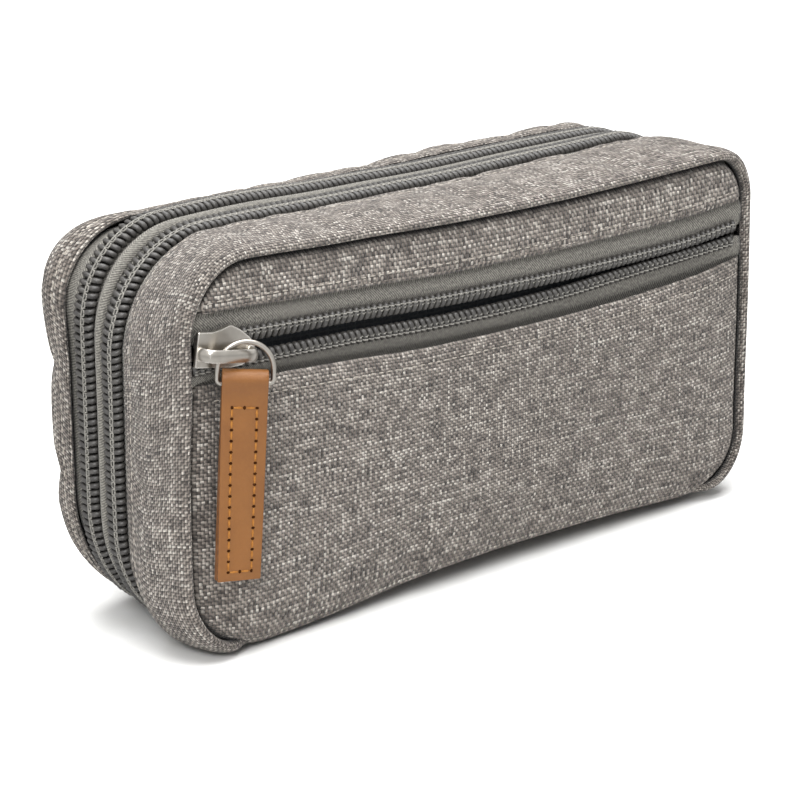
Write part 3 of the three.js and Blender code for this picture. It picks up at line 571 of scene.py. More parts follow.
# %% [markdown]
# ## Strips of cloth
# A sewn case is made of flat strips and panels, and so is this one. Each strip starts as a flat grid. Its
# columns are carried along the outline and its rows across a section of (depth, distance inwards) pairs,
# and the flat layout is kept as a UV map in metres, so the weave follows the cloth. A panel is the same
# strip run inwards until its rows meet in a line. Merging by distance then closes it.

# %% Strip and piece helpers
CUT_EASE = 1.1


def lengths(points):
    """How far along a line each of its points lies."""
    run = [0.0]
    for a, b in zip(points, points[1:]):
        run.append(run[-1] + math.dist(a, b))
    return run


def grid(columns, rows, at):
    """A grid whose points, and their places on the flat cut, come from at(column, row)."""
    bm = bmesh.new()
    cut = bm.loops.layers.uv.new("cut")
    row_of = bm.verts.layers.int.new("row")
    bmesh.ops.create_grid(bm, x_segments=columns, y_segments=rows, size=0.5)
    laid = {}
    for vert in bm.verts:
        column, row = round((vert.co.x + 0.5) * columns), round((vert.co.y + 0.5) * rows)
        vert.co, laid[vert] = at(column, row)
        vert[row_of] = row
    for face in bm.faces:
        for loop in face.loops:
            loop[cut].uv = Vector(laid[loop.vert]) * MM
    return bm


def strip(path, section, flat=False, bend=None):
    """Cloth laid along stations of the outline and across a section; flat takes the cut from the front, and
    bend moves each point."""
    middle = section[len(section) // 2]
    run, width = lengths([outline(*spot, *middle) for spot in path]), lengths(section)

    def at(column, row):
        point = outline(*path[column], *section[row])
        cut = (point.x, point.z) if flat else (run[column] * CUT_EASE, width[row] * CUT_EASE)
        return bend(point) if bend else point, cut

    bm = grid(len(path) - 1, len(section) - 1, at)
    bmesh.ops.remove_doubles(bm, verts=bm.verts, dist=0.005)
    return bm


def piece(name, bm, body, slot, *finishes, stands_for=(), cloth=0.0, rounds=0, settled=True):
    """The object of a bmesh drawn in millimetres, settled, given its finishes and set on its body."""
    if settled:
        for vert in bm.verts:
            vert.co = settle(vert.co)
    bmesh.ops.scale(bm, vec=(MM, MM, MM), verts=bm.verts)
    mesh = bpy.data.meshes.new(name)
    bm.to_mesh(mesh)
    bm.free()
    mesh.polygons.foreach_set("use_smooth", [True] * len(mesh.polygons))
    for material in finishes:
        mesh.materials.append(material)
    made = bpy.data.objects.new(name, mesh)
    scene.collection.objects.link(made)
    if rounds:
        smooth = made.modifiers.new("smooth", "SUBSURF")
        smooth.levels = smooth.render_levels = rounds
        smooth.uv_smooth = "PRESERVE_BOUNDARIES"
    if cloth:
        wall = made.modifiers.new("cloth", "SOLIDIFY")
        wall.thickness = cloth * MM
        wall.offset = -1
    if stands_for:
        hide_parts(*stands_for)
    if body:
        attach(made, body)
    return made


def slab(y0, y1, inset, edge):
    """The section of a flat pad with rounded edges, from the middle of one face to that of the other."""
    thick = y1 - y0
    reach = [(y0, i) for i in (MIDDLE, 40, 30, 20, 12, inset + edge)]
    turn = [(y0 + thick * k / 4, inset + edge * (1 - math.sin(math.pi * k / 4))) for k in range(5)]
    return reach + turn[1:4] + [(y1, i) for y, i in reversed(reach)]


print("strips have", len(ALL_ROUND) - 1, "columns all round and", len(ZIP_LINE) - 1, "along a zip")

# %% [markdown]
# ## Swelling by simulation
# Foam behind the cloth pushes it out between its seams. Blender's cloth solver does that well: the seam
# rows are pinned, a little slack is given, and a gentle pressure blows the cloth out for twenty frames. It
# runs on a copy ten times as large, because the solver is tuned for garments, and no point may move more
# than a cap. The moved points are then written back, so nothing is left to simulate.

# %% Swelling
TRIAL_SCALE = 10.0
TRIAL_FRAMES = 20


def swell(made, pinned_rows, pressure, cap, slack=0.01):
    """Blows a piece's cloth out between its pinned rows and free edges, by at most cap millimetres."""
    trial = bpy.data.objects.new("trial", made.data.copy())
    scene.collection.objects.link(trial)
    trial.data.transform(Matrix.Scale(TRIAL_SCALE, 4))
    uses = {}
    for polygon in trial.data.polygons:
        for key in polygon.edge_keys:
            uses[key] = uses.get(key, 0) + 1
    held = {v for key, count in uses.items() if count == 1 for v in key}
    held |= {k for k, row in enumerate(trial.data.attributes["row"].data) if row.value in pinned_rows}
    sewn = trial.vertex_groups.new(name="sewn")
    sewn.add(sorted(held), 1.0, "REPLACE")
    solver = trial.modifiers.new("solver", "CLOTH")
    rules = {"quality": 6, "mass": 0.3, "tension_stiffness": 20, "compression_stiffness": 20,
             "shear_stiffness": 10, "bending_stiffness": 1.5, "vertex_group_mass": "sewn",
             "use_pressure": True, "uniform_pressure_force": pressure, "shrink_min": -slack}
    for rule, value in rules.items():
        setattr(solver.settings, rule, value)
    solver.settings.effector_weights.gravity = 0
    solver.point_cache.frame_start, solver.point_cache.frame_end = 1, TRIAL_FRAMES
    for step in range(1, TRIAL_FRAMES + 1):
        scene.frame_set(step)
    result = trial.evaluated_get(bpy.context.evaluated_depsgraph_get()).data
    furthest = 0.0
    for vert, moved in zip(made.data.vertices, result.vertices):
        move = moved.co / TRIAL_SCALE - vert.co
        furthest = max(furthest, move.length / MM)
        if move.length > cap * MM:
            move *= cap * MM / move.length
        vert.co += move
    bpy.data.objects.remove(trial)
    scene.frame_set(1)
    made.data.update()
    print(made.name, "swelled by", round(min(furthest, cap), 2), "mm at most, wanted", round(furthest, 2))


# %% [markdown]
# ## Front gusset
# The gusset is the wide band of cloth round the front shell. At the zip it is folded under into a soft lip
# and topstitched, and at the front it rolls over a rounded ridge and dives into the seam that holds the
# recessed panel. It could be extruded and bevelled, but a strip with a drawn section gives the lip, the
# groove of the stitching and the ridge at once. The cloth between them is then swelled.

# %% Front gusset
FRONT_LIP = (
    (2.6, 3.15), (1.6, 3.15), (0.7, 3.0), (0.15, 2.55), (0.0, 1.9), (0.3, 1.2), (1.1, 0.55), (2.4, 0.12),
    (4.2, -0.2), (6.6, -0.4), (9.2, -0.55), (12.0, -0.65), (14.6, -0.6), (17.0, -0.55), (19.2, -0.5),
    (20.2, -0.1), (21.2, -0.4), (22.4, -0.2), (23.4, 0.35), (24.0, 1.1), (24.1, 1.9), (23.4, 2.6),
)
FRONT_STITCH = (FRONT + 20.2, -0.6)
CLOTH, PANEL_CLOTH = 1.2, 1.0
TUCK = Vector((0, 3.0, 2.2))


def under_foot(x):
    """1 along the bottom, fading out before the corners."""
    return 1 - blend_in(abs(x), HALF - 24, HALF - 11)


def tuck(point):
    """Draws the ridge in and up along the bottom, where the pocket panel hangs over it."""
    share = under_foot(point.x) * (1 - blend_in(point.z, 5, 14)) * blend_in(-point.y, -FRONT - 9, -FRONT)
    return point + TUCK * share


section = [(FRONT + depth, inset) for depth, inset in FRONT_LIP]
front_gusset = piece("front_gusset_cloth", strip(ALL_ROUND, section, bend=tuck), "front_shell", "fabric",
                     melange, stands_for=["front_gusset"], cloth=CLOTH, rounds=1)
swell(front_gusset, set(range(8)) | {15, 19, 20, 21}, pressure=1.6, cap=1.8, slack=0.02)
print("front gusset:", len(front_gusset.data.polygons), "faces before smoothing")

# %% [markdown]
# ## Front panels
# Upper panel and pocket panel were one rounded rectangle before the pocket zip parted them. So one blank is
# made, dipped at its edge into the seam and crowned in the middle, and a bisect keeps the part above or
# below the zip. The raw edge along the zip is folded back by two extrusions. The pocket panel is a single
# slack layer, the upper one is padded.

# %% Front panels
PANEL_INSETS = (MIDDLE, 44, 38, 32, 27, 22, 17.5, 13.5, 10, 7.5, 5.6, 4.5, 3.8, 3.3)
PANEL_SINK, PANEL_CROWN, SEAM_DIP, LEFT_GROOVE = 1.1, 1.6, 2.8, 1.8
SEAM_ROWS = {11, 12, 13}
HANG_BACK, HANG_DOWN = 1.0, 3.0
FOLD_ROW = 99
CUT_SNAP = 0.3
# A cut mesh comes out in no fixed order, so it is put in one: the solver's sums depend on it.
SORT_WAY = Vector((1.0, 0.137, 0.0731))
UPPER_EDGE = lowest("front_panel_upper").z
POCKET_EDGE = highest("pocket_panel").z


def hang(point):
    """Lets the foot of the panel roll down and back over the ridge, and sinks its left edge into the seam."""
    share = under_foot(point.x)
    down, back_by = 1 - blend_in(point.z, 3, 17), 1 - blend_in(point.z, 3, 9)
    groove = LEFT_GROOVE * math.exp(-max(point.x + HALF - PANEL_INSETS[-1], 0) / 2.0)
    return point + Vector((0, HANG_BACK * back_by, -HANG_DOWN * down)) * share + Vector((0, groove, 0))


def parted_panel(edge, way):
    """The front blank on one side of a height, its edge folded back; way is 1 for the part above."""
    section = []
    for inset in PANEL_INSETS:
        dip = SEAM_DIP * math.exp((PANEL_INSETS[-1] - inset) / 0.7)
        section.append((FRONT + PANEL_SINK - PANEL_CROWN * blend_in(inset, 3, 26) + dip, inset))
    bm = strip(ALL_ROUND, section, flat=True, bend=hang)
    row_of = bm.verts.layers.int["row"]
    bmesh.ops.bisect_plane(bm, geom=bm.verts[:] + bm.edges[:] + bm.faces[:], dist=CUT_SNAP,
                           plane_co=(0, 0, edge), plane_no=(0, 0, -way), clear_outer=True)
    at_cut = {v for v in bm.verts if abs(v.co.z - edge) < CUT_SNAP + 0.01}
    fold = [e for e in bm.edges if e.is_boundary and at_cut.issuperset(e.verts)]
    for vert in {v for e in fold for v in e.verts}:
        vert[row_of] = FOLD_ROW
    for shift in ((0, 1.0, -0.2 * way), (0, 0.4, 2.6 * way)):
        made = bmesh.ops.extrude_edge_only(bm, edges=fold)["geom"]
        fold = [e for e in made if isinstance(e, bmesh.types.BMEdge) and e.is_boundary]
        moved = {v for e in fold for v in e.verts}
        bmesh.ops.translate(bm, vec=shift, verts=list(moved))
        for vert in moved:
            vert[row_of] = FOLD_ROW
    bm.verts.sort(key=lambda v: v.co.dot(SORT_WAY))
    bm.edges.sort(key=lambda e: sum((v.co for v in e.verts), Vector()).dot(SORT_WAY))
    bm.faces.sort(key=lambda f: f.calc_center_median().dot(SORT_WAY))
    return bm


upper_panel = piece("front_upper_panel_cloth", parted_panel(UPPER_EDGE, 1), "front_shell", "fabric", melange,
                    stands_for=["front_panel_upper"], cloth=PANEL_CLOTH, rounds=1)
pocket_panel = piece("pocket_panel_cloth", parted_panel(POCKET_EDGE, -1), "front_shell", "fabric", melange,
                     stands_for=["pocket_panel"], cloth=PANEL_CLOTH, rounds=1)
swell(upper_panel, SEAM_ROWS | {FOLD_ROW}, pressure=1.2, cap=1.2)
swell(pocket_panel, SEAM_ROWS | {FOLD_ROW}, pressure=0.8, cap=0.8, slack=0.012)
print("pocket panel to", round(POCKET_EDGE, 1), "upper panel from", round(UPPER_EDGE, 1))

# %% [markdown]
# ## Topstitching
# A lockstitch shows as short dashes of thread that lie a little sunk in the cloth. Each dash is a small
# ball stretched along the seam. It is set on the finished cloth by asking a tree of its faces for the
# nearest point, so it follows whatever the swelling did.

# %% Topstitching
def evenly(points, pitch):
    """(point, direction) pairs every pitch along a line of points."""
    out, left = [], pitch / 2
    for a, b in zip(points, points[1:]):
        length = (b - a).length
        while left <= length and length > 0:
            out.append((a.lerp(b, left / length), (b - a) / length))
            left += pitch
        left -= length
    return out


def topstitch(name, made, line, body, thread, pitch=2.8, length=2.0, width=0.42, slot="fabric"):
    """Dashes of thread on the cloth of a finished piece, along a line drawn in millimetres."""
    bpy.context.view_layer.update()
    faces = BVHTree.FromObject(made, bpy.context.evaluated_depsgraph_get())
    bm = bmesh.new()
    for point, way in evenly([settle(p) for p in line], pitch):
        spot, up, _, _ = faces.find_nearest(point * MM)
        side = up.cross(way).normalized()
        axes = Matrix((way * length / 2, side * width / 2, up * width / 2)).transposed().to_4x4()
        bmesh.ops.create_uvsphere(bm, u_segments=6, v_segments=4, radius=1,
                                  matrix=Matrix.Translation(spot / MM) @ axes)
    return piece(name, bm, body, slot, thread, settled=False)


ring = [outline(*spot, *FRONT_STITCH) for spot in ALL_ROUND]
topstitch("front_gusset_topstitch", front_gusset, ring, "front_shell", cloth_thread)
for name, made, reach, z in (("pocket_topstitch", pocket_panel, HALF - 5.5, POCKET_EDGE - 4.4),
                             ("upper_panel_topstitch", upper_panel, HALF - 7.5, UPPER_EDGE + 2.2)):
    line = [Vector((reach * (k / 20 - 1), FRONT - 1, z)) for k in range(41)]
    topstitch(name, made, line, "front_shell", cloth_thread)
print("topstitch on the gusset and both panels")

# %% [markdown]
# ## Coil zips
# Each half of a coil zip is a nylon filament wound in a flat spiral: from a head at the middle, back across
# the tape, round, and underneath to the next head. The heads of the two halves mesh, half a turn apart. A
# spiral could be faked by bars, but a curve with a round bevel winds it as the machine does. Thinner curves
# are the sewing threads: two rows of hops on each half of the pocket zip, and a ladder down the closed
# chains, drawn on their core side alone. They all become one mesh before they are placed.

# %% Coil helpers
COIL_TURN = ((0.0, -0.25, 0.5), (0.08, 0.7, 0.7), (0.2, 1.9, 0.8), (0.32, 2.8, 0.6), (0.42, 3.25, 0.0),
             (0.52, 2.8, -0.6), (0.68, 1.8, -0.75), (0.86, 0.5, -0.75), (0.94, -0.25, -0.45),
             (0.97, -0.5, 0.05))
LADDER_HOPS = (
    ((0.0, -0.55, 1.3), (0.5, -0.6, 1.3)),
    ((0.0, 0.6, 1.3), (0.3, 0.55, 1.35), (0.42, -0.45, 1.35), (0.52, -0.45, 1.35), (0.64, 0.55, 1.35)),
)
ROW_HOPS = tuple(((0.0, far, 1.1), (0.2, far, 1.4), (0.4, far, 1.1), (0.55, far, 0.6), (0.85, far, 0.6))
                 for far in (1.6, 2.7))
FILAMENT, SEWING = 0.72, 0.2
ZIP_PITCH, POCKET_PITCH = 1.8, 1.95
COIL_INSET = 0.7


def tube(bm, points, radius, finish_index=0, sides=1, closed=False):
    """Adds a round tube along points to a bmesh, by way of a bevelled curve."""
    curve = bpy.data.curves.new("tube", "CURVE")
    curve.dimensions = "3D"
    curve.bevel_depth = radius
    curve.bevel_resolution = sides
    curve.use_fill_caps = not closed
    line = curve.splines.new("POLY")
    line.points.add(len(points) - 1)
    line.points.foreach_set("co", [c for p in points for c in (*p, 1.0)])
    line.use_cyclic_u = closed
    holder = bpy.data.objects.new("tube", curve)
    mesh = bpy.data.meshes.new_from_object(holder)
    old_faces, old_verts = len(bm.faces), len(bm.verts)
    bm.from_mesh(mesh)
    bm.faces.ensure_lookup_table()
    bm.verts.ensure_lookup_table()
    for face in bm.faces[old_faces:]:
        face.material_index = finish_index
    bmesh.ops.remove_doubles(bm, verts=bm.verts[old_verts:], dist=0.0005)
    bpy.data.objects.remove(holder)
    bpy.data.curves.remove(curve)
    bpy.data.meshes.remove(mesh)


def run_along(points, outs, across):
    """A function from a length along a line to (point, across, outward) there, and the whole length."""
    reach = lengths(points)

    def at(length):
        spot = min(max(length, 0), reach[-1])
        k = min(next((i for i, far in enumerate(reach) if far >= spot), 1), len(points) - 1) or 1
        share = (spot - reach[k - 1]) / (reach[k] - reach[k - 1])
        return points[k - 1].lerp(points[k], share), across, outs[k - 1].lerp(outs[k], share).normalized()

    return at, reach[-1]


def coil_half(at, length, pitch, phase, hops, size=1.0, shift=0.0):
    """One half of a coil zip with its sewing threads, which may lie a little further from the middle."""
    bm = bmesh.new()
    for pattern, radius, finish_index in ((COIL_TURN, FILAMENT, 0), *((hop, SEWING, 1) for hop in hops)):
        points = []
        for turn in range(int(length / pitch - 1)):
            for share, across_by, out_by in pattern:
                point, across_way, out = at((turn + phase + share) * pitch)
                aside = across_by * size + shift * finish_index
                points.append(settle(point + across_way * aside + out * out_by))
        tube(bm, points, radius, finish_index)
    return bm


print("coil pitch", ZIP_PITCH, "mm round the case and", POCKET_PITCH, "mm on the pocket")

# %% Perimeter zips
FINE = stations((1, ZIP_END, 1, 24), (2, 0, 1, 6), (3, 0, 1, 30), (4, 0, 1, 12), (5, 0, 1, 30), (6, 0, 1, 6),
                (7, 0, 1 - ZIP_END, 24))
TAPE = 0.5
CHAIN_SIZE, LADDER_SHIFT = 0.9, 0.9
TAPE_ROWS = {
    "core_side": ((4.0, 1.6), (3.4, 1.9), (2.0, 2.0), (0.5, 2.0)),
    "front_zip": ((8.4, 2.4), (5.6, 1.9), (4.9, 1.0), (4.3, 0.95), (3.4, 1.9), (0.5, 2.0)),
    "rear_zip": ((8.4, 1.9), (6.6, 1.9), (5.8, 1.9), (5.2, 1.8), (4.6, 1.4), (3.6, 1.4), (0.5, 2.0)),
}
for zip_name, y, shell, shell_way in (("front_zip", FRONT_ZIP, "front_shell", -1),
                                      ("rear_zip", REAR_ZIP, "back_shell", 1)):
    line = [outline(*spot, y, COIL_INSET) for spot in FINE]
    outs = [(outline(*spot, y, COIL_INSET - 1) - outline(*spot, y, COIL_INSET)).normalized() for spot in FINE]
    for side, body, way, phase in (("shell_side", shell, shell_way, 0.0),
                                   ("core_side", "core", -shell_way, 0.5)):
        at, length = run_along(line, outs, Vector((0, way, 0)))
        hops = LADDER_HOPS if side == "core_side" else ()
        coil = coil_half(at, length, ZIP_PITCH, phase, hops, CHAIN_SIZE, -LADDER_SHIFT * way)
        piece(f"{zip_name}_{side}_coil_teeth", coil, body, "zip_coil", coil_nylon, coil_thread,
              stands_for=[f"{zip_name}_{side}_coil"], settled=False)
        rows = TAPE_ROWS[zip_name if side == "shell_side" else side]
        section = [(y + way * reach, inset) for reach, inset in rows][::-way]
        piece(f"{zip_name}_{side}_tape_cloth", strip(ZIP_LINE, section), body, "zip_tape", tape,
              stands_for=[f"{zip_name}_{side}_tape"], cloth=TAPE)
print("two zips,", round(length), "mm long")

# %% Pocket zip
ZIP_REACH = HALF - 3.6
POCKET_COIL_SIZE = 0.72
COIL_FACE = (lowest("pocket_zip_upper_coil").y + highest("pocket_zip_upper_coil").y) / 2
TAPE_COLUMNS = 80
POCKET_TAPES = {
    "upper": ((90.3, -30.5), (87.6, -30.6), (86.5, -30.9), (85.6, -31.4), (84.3, -31.8), (83.0, -31.7),
              (81.6, -31.4), (80.0, -31.2)),
    "lower": ((75.0, -31.2), (73.4, -31.4), (72.2, -31.6), (71.0, -31.5), (69.9, -31.2), (68.9, -30.8),
              (67.8, -30.6), (66.1, -30.5)),
}
for side, way in (("upper", 1), ("lower", -1)):
    coil, rows = f"pocket_zip_{side}_coil", POCKET_TAPES[side]
    head = (lowest(coil) if way > 0 else highest(coil)).z
    line = [Vector((ZIP_REACH * (k / 40 - 1), COIL_FACE, head)) for k in range(81)]
    at, length = run_along(line, [Vector((0, -1, 0))] * len(line), Vector((0, 0, way)))
    wound = coil_half(at, length, POCKET_PITCH, 0.25 + 0.25 * way, ROW_HOPS, POCKET_COIL_SIZE)
    piece(f"{coil}_teeth", wound, "front_shell", "zip_coil", coil_nylon, coil_thread, stands_for=[coil],
          settled=False)

    def on_tape(column, row):
        z, y = rows[-1 - row]
        share = column / TAPE_COLUMNS - 0.5
        radius = CORNER_RADII[3 if share < 0 else 5][0]
        corner = max(z - (HEIGHT - radius), 0)
        reach = HALF - radius + math.sqrt((radius - PANEL_INSETS[-1]) ** 2 - corner ** 2)
        return (2 * reach * share, y, z), (2 * reach * share, z)

    piece(f"pocket_zip_{side}_tape_cloth", grid(TAPE_COLUMNS, len(rows) - 1, on_tape), "front_shell",
          "zip_tape", tape, stands_for=[f"pocket_zip_{side}_tape"], cloth=TAPE, rounds=1)
print("pocket zip", round(2 * ZIP_REACH), "mm long, heads apart by",
      round(lowest("pocket_zip_upper_coil").z - highest("pocket_zip_lower_coil").z, 1), "mm")

# %% [markdown]
# ## Core band and the folds under the case
# Between the two chains runs the edge of the core, a plain tape crowned over its stiff board. Under the
# case the zips stop, and cloth runs on from the core into each shell, so that a shell can fold down. That
# cloth is a strip on each side that is set on no body, so it stays where it is drawn.

# %% Core band and folds
BAND = ((-1.35, 1.5), (-1.2, 0.6), (-0.7, 0.15), (0.0, 0.0), (0.7, 0.15), (1.2, 0.6), (1.35, 1.5))
FOLD = ((5.8, 0.9), (4.4, 0.3), (2.6, 0.05), (1.4, 0), (0.9, 0), (0.45, 0), (0, 0), (-0.45, 0), (-0.9, 0),
        (-1.6, 0), (-2.8, 0.05), (-4.0, 0.2))

piece("core_band_tape", strip(ALL_ROUND, BAND), "core", "fabric", tape, stands_for=["core_band"], cloth=0.9,
      rounds=1)
for name, shell, y, way in (("front", "front_shell", FRONT_ZIP, -1), ("rear", "back_shell", REAR_ZIP, 1)):
    section = [(y + way * reach, inset) for reach, inset in FOLD][::-way]
    fold = piece(f"{name}_fold_cloth", strip(UNDER, section), None, "fabric", melange, cloth=CLOTH)
    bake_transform(fold)
print("core band and two fold cloths")

# %% [markdown]
# ## Back shell
# The back is made as the front is, but shallower: a gusset with a lip beside the rear chain, a soft rounded
# edge, and one plain panel that is crowned by the foam behind it. A strip of tape shows between the chain
# and the lip, with a dark gap under the lip, so the lip stands a little further from the chain than on the
# front.

# %% Back shell
BACK_LIP = (
    (12.6, 0.8), (11.7, 0.8), (11.05, 0.45), (10.9, -0.2), (11.5, -0.75), (12.6, -1.0), (13.7, -0.85),
    (14.5, -1.2), (15.8, -1.15), (17.2, -0.9), (18.5, -0.2), (19.6, 0.8), (20.5, 2.0), (20.9, 3.2),
    (20.9, 4.05), (20.4, 4.5), (19.4, 4.55),
)
BACK_STITCH = (13.7, -0.7)
BACK_SINK, BACK_CROWN, BACK_DIP = 0.5, 1.5, 1.4
BACK_INSETS = (4.2, 4.8, 5.6, 6.8, 8.6, 11, 14, 18, 22.5, 27, 32, 38, 44, MIDDLE)

back_gusset = piece("back_gusset_cloth", strip(ALL_ROUND, BACK_LIP), "back_shell", "fabric", melange,
                    stands_for=["back_gusset"], cloth=CLOTH, rounds=1)
swell(back_gusset, {0, 1, 2, 6, 14, 15, 16}, pressure=1.4, cap=1.5, slack=0.02)
section = [(BACK - BACK_SINK + BACK_CROWN * blend_in(inset, 4, 26)
            - BACK_DIP * math.exp((BACK_INSETS[0] - inset) / 0.8), inset) for inset in BACK_INSETS]
back_panel = piece("back_panel_cloth", strip(ALL_ROUND, section, flat=True), "back_shell", "fabric", melange,
                   stands_for=["back_panel"], cloth=PANEL_CLOTH, rounds=1)
swell(back_panel, {0, 1, 2}, pressure=0.8, cap=1.6, slack=0.012)
ring = [outline(*spot, *BACK_STITCH) for spot in ALL_ROUND]
topstitch("back_gusset_topstitch", back_gusset, ring, "back_shell", cloth_thread)
print("back shell from", BACK_LIP[3][0], "to", round(BACK, 1))

# %% [markdown]
# ## Linings, foam and bindings
# Behind the cloth lie foam sheets, and inside them thin lining trays that the eye meets when a shell is
# open. A tray is again a strip: down its rim, round the corner and in to the middle. The raw edges of the
# outer seams are wrapped in binding tape, a hoop with a closed section.

# %% Linings, foam and bindings
def bound(y0, y1, i0, i1, edge=0.35):
    """The closed section of a folded binding."""
    return ((y0, i0 + edge), (y0 + edge, i0), (y1 - edge, i0), (y1, i0 + edge), (y1, i1 - edge),
            (y1 - edge, i1), (y0 + edge, i1), (y0, i1 - edge), (y0, i0 + edge))


BINDING = 1.4
INNER = HALF - highest("front_lining").x
for name, body, slot, finish_used, edge in (
    ("front_foam", "front_shell", "foam", foam, 1.0), ("back_foam", "back_shell", "foam", foam, 1.0),
    ("pocket_back", "front_shell", "lining", taffeta, 0.3), ("divider_board", "core", "board", board, 0.9),
    ("divider_lining_front", "core", "lining", taffeta, 0.25),
    ("divider_lining_rear", "core", "lining", taffeta, 0.25),
):
    low, high = lowest(name), highest(name)
    pad = strip(ALL_ROUND, slab(low.y, high.y, HALF - high.x, edge), flat=True)
    made = piece(f"{name}_layer", pad, body, slot, finish_used, stands_for=[name])

for name, body, way in (("front_lining", "front_shell", -1), ("back_lining", "back_shell", 1)):
    low, high = lowest(name), highest(name)
    rim, face = (high.y, low.y + 0.6) if way < 0 else (low.y, high.y - 0.6)
    section = [(rim, INNER + 0.2), (rim + way * 2, INNER + 0.3), (face - way * 3, INNER + 0.45),
               (face - way * 1.2, INNER + 0.75), (face - way * 0.3, INNER + 1.5), (face, INNER + 3)]
    section += [(face, inset) for inset in (9, 14, 20, 27, 34, 42, MIDDLE)]
    made = piece(f"{name}_tray", strip(ALL_ROUND, section[::-way], flat=True), body, "lining", taffeta,
                 stands_for=[name], cloth=0.5)

for name, body in (("front_seam_binding", "front_shell"), ("back_seam_binding", "back_shell")):
    low, high = lowest(name), highest(name)
    inset = HALF - high.x
    hoop = strip(ALL_ROUND, bound(low.y, high.y, inset, inset + BINDING))
    piece(f"{name}_tape", hoop, body, "zip_tape", tape, stands_for=[name])
print("linings at inset", round(INNER, 1))

# %% [markdown]
# ## Pen loops
# Two elastic straps on the divider hold the pens. Each is one band of ribbed webbing, tacked down between
# its loops. It is a flat grid whose length follows the wavy line of the loops, given thickness afterwards.

# %% Pen loops
LOOP_SPAN, LOOP_PITCH, LOOP_RISE, STRAP_TAB = 22.0, 25.0, 10.0, 6.0
LOOPS = 3
ELASTIC = 0.9
half_run = ((LOOPS - 1) * LOOP_PITCH + LOOP_SPAN) / 2
line = [(-half_run - STRAP_TAB, 0.0), (-half_run - STRAP_TAB / 2, 0.0)]
for loop in range(LOOPS):
    start = -half_run + loop * LOOP_PITCH
    line += [(start + LOOP_SPAN * k / 16, LOOP_RISE * math.sin(math.pi * k / 16) ** 0.9) for k in range(17)]
line += [(half_run + STRAP_TAB / 2, 0.0), (half_run + STRAP_TAB, 0.0)]
run = lengths(line)
STRAP_COLUMNS = 6
half_tab = half_run + STRAP_TAB / 2
half_gap = (LOOP_PITCH - LOOP_SPAN) / 2
tacks = [-half_tab, half_tab, *(LOOP_PITCH * k - half_run - half_gap for k in range(1, LOOPS))]
for name in ("pen_strap_left", "pen_strap_right"):
    low, high = lowest(name), highest(name)
    middle = (low + high) / 2

    def on_strap(column, row):
        aside = (column / STRAP_COLUMNS - 0.5) * (high.x - low.x)
        up, rise = line[row]
        return (middle.x + aside, high.y - rise - ELASTIC, middle.z + up), (aside, run[row])

    strap = piece(f"{name}_webbing", grid(STRAP_COLUMNS, len(line) - 1, on_strap), "core", "elastic", elastic,
                  stands_for=[name], cloth=ELASTIC, rounds=1)
    for k, tack in enumerate(tacks):
        across_strap = [Vector((x, high.y - ELASTIC, middle.z + tack)) for x in (low.x + 1.5, high.x - 1.5)]
        topstitch(f"{name}_tack_{k}", strap, across_strap, "core", coil_thread, pitch=2.2, length=1.7,
                  slot="elastic")
print("pen loops", LOOPS, "on each of two straps,", round(run[-1]), "mm of webbing each")

# %% [markdown]
# ## Net pocket and cold pack
# The net pocket holds a gel pack against the back of the divider. The net is a grid with rounded sides
# whose faces are poked and whose old edges are dissolved, which turns squares into diamonds. A Wireframe
# modifier then leaves only the cords. The gel pack is a pillow: a closed flat form that is blown up by the
# same simulation as the cloth.

# %% Net pocket and cold pack
low, high = lowest("mesh_pocket"), highest("mesh_pocket")
SIDE_TURN, CORD = 5.0, 0.62
bm = bmesh.new()
bmesh.ops.create_grid(bm, x_segments=44, y_segments=20, size=0.5)
whole = bm.edges[:]
bmesh.ops.poke(bm, faces=bm.faces[:])
bmesh.ops.dissolve_edges(bm, edges=[e for e in whole if e.is_valid and not e.is_boundary])
for vert in bm.verts:
    x = (low.x + high.x) / 2 + vert.co.x * (high.x - low.x)
    z = low.z + (vert.co.y + 0.5) * (high.z - low.z)
    edge = min(x - low.x, high.x - x, z - low.z)
    rise = math.sqrt(max(1 - (1 - min(edge / SIDE_TURN, 1)) ** 2, 0))
    vert.co = (x, low.y + 0.4 + (high.y - low.y - 0.8) * rise, z)
net_pocket = piece("net_pocket_knit", bm, "core", "mesh", net, stands_for=["mesh_pocket"])
cords = net_pocket.modifiers.new("cords", "WIREFRAME")
cords.thickness = CORD * MM
cords.use_replace = True

low, high = lowest("mesh_pocket_binding"), highest("mesh_pocket_binding")
BINDING_COLUMNS, BINDING_ROWS = 40, 4


def on_binding(column, row):
    x, up = column / BINDING_COLUMNS - 0.5, row / BINDING_ROWS - 0.5
    y = high.y - 0.3 + 0.25 * (1 - 4 * up * up)
    z = low.z + (up + 0.5) * (high.z - low.z)
    return (-x * (high.x - low.x), y, z), (up * 5, x * 130)


piece("net_pocket_binding_elastic", grid(BINDING_COLUMNS, BINDING_ROWS, on_binding), "core", "elastic",
      elastic, stands_for=["mesh_pocket_binding"], cloth=0.7, rounds=1)

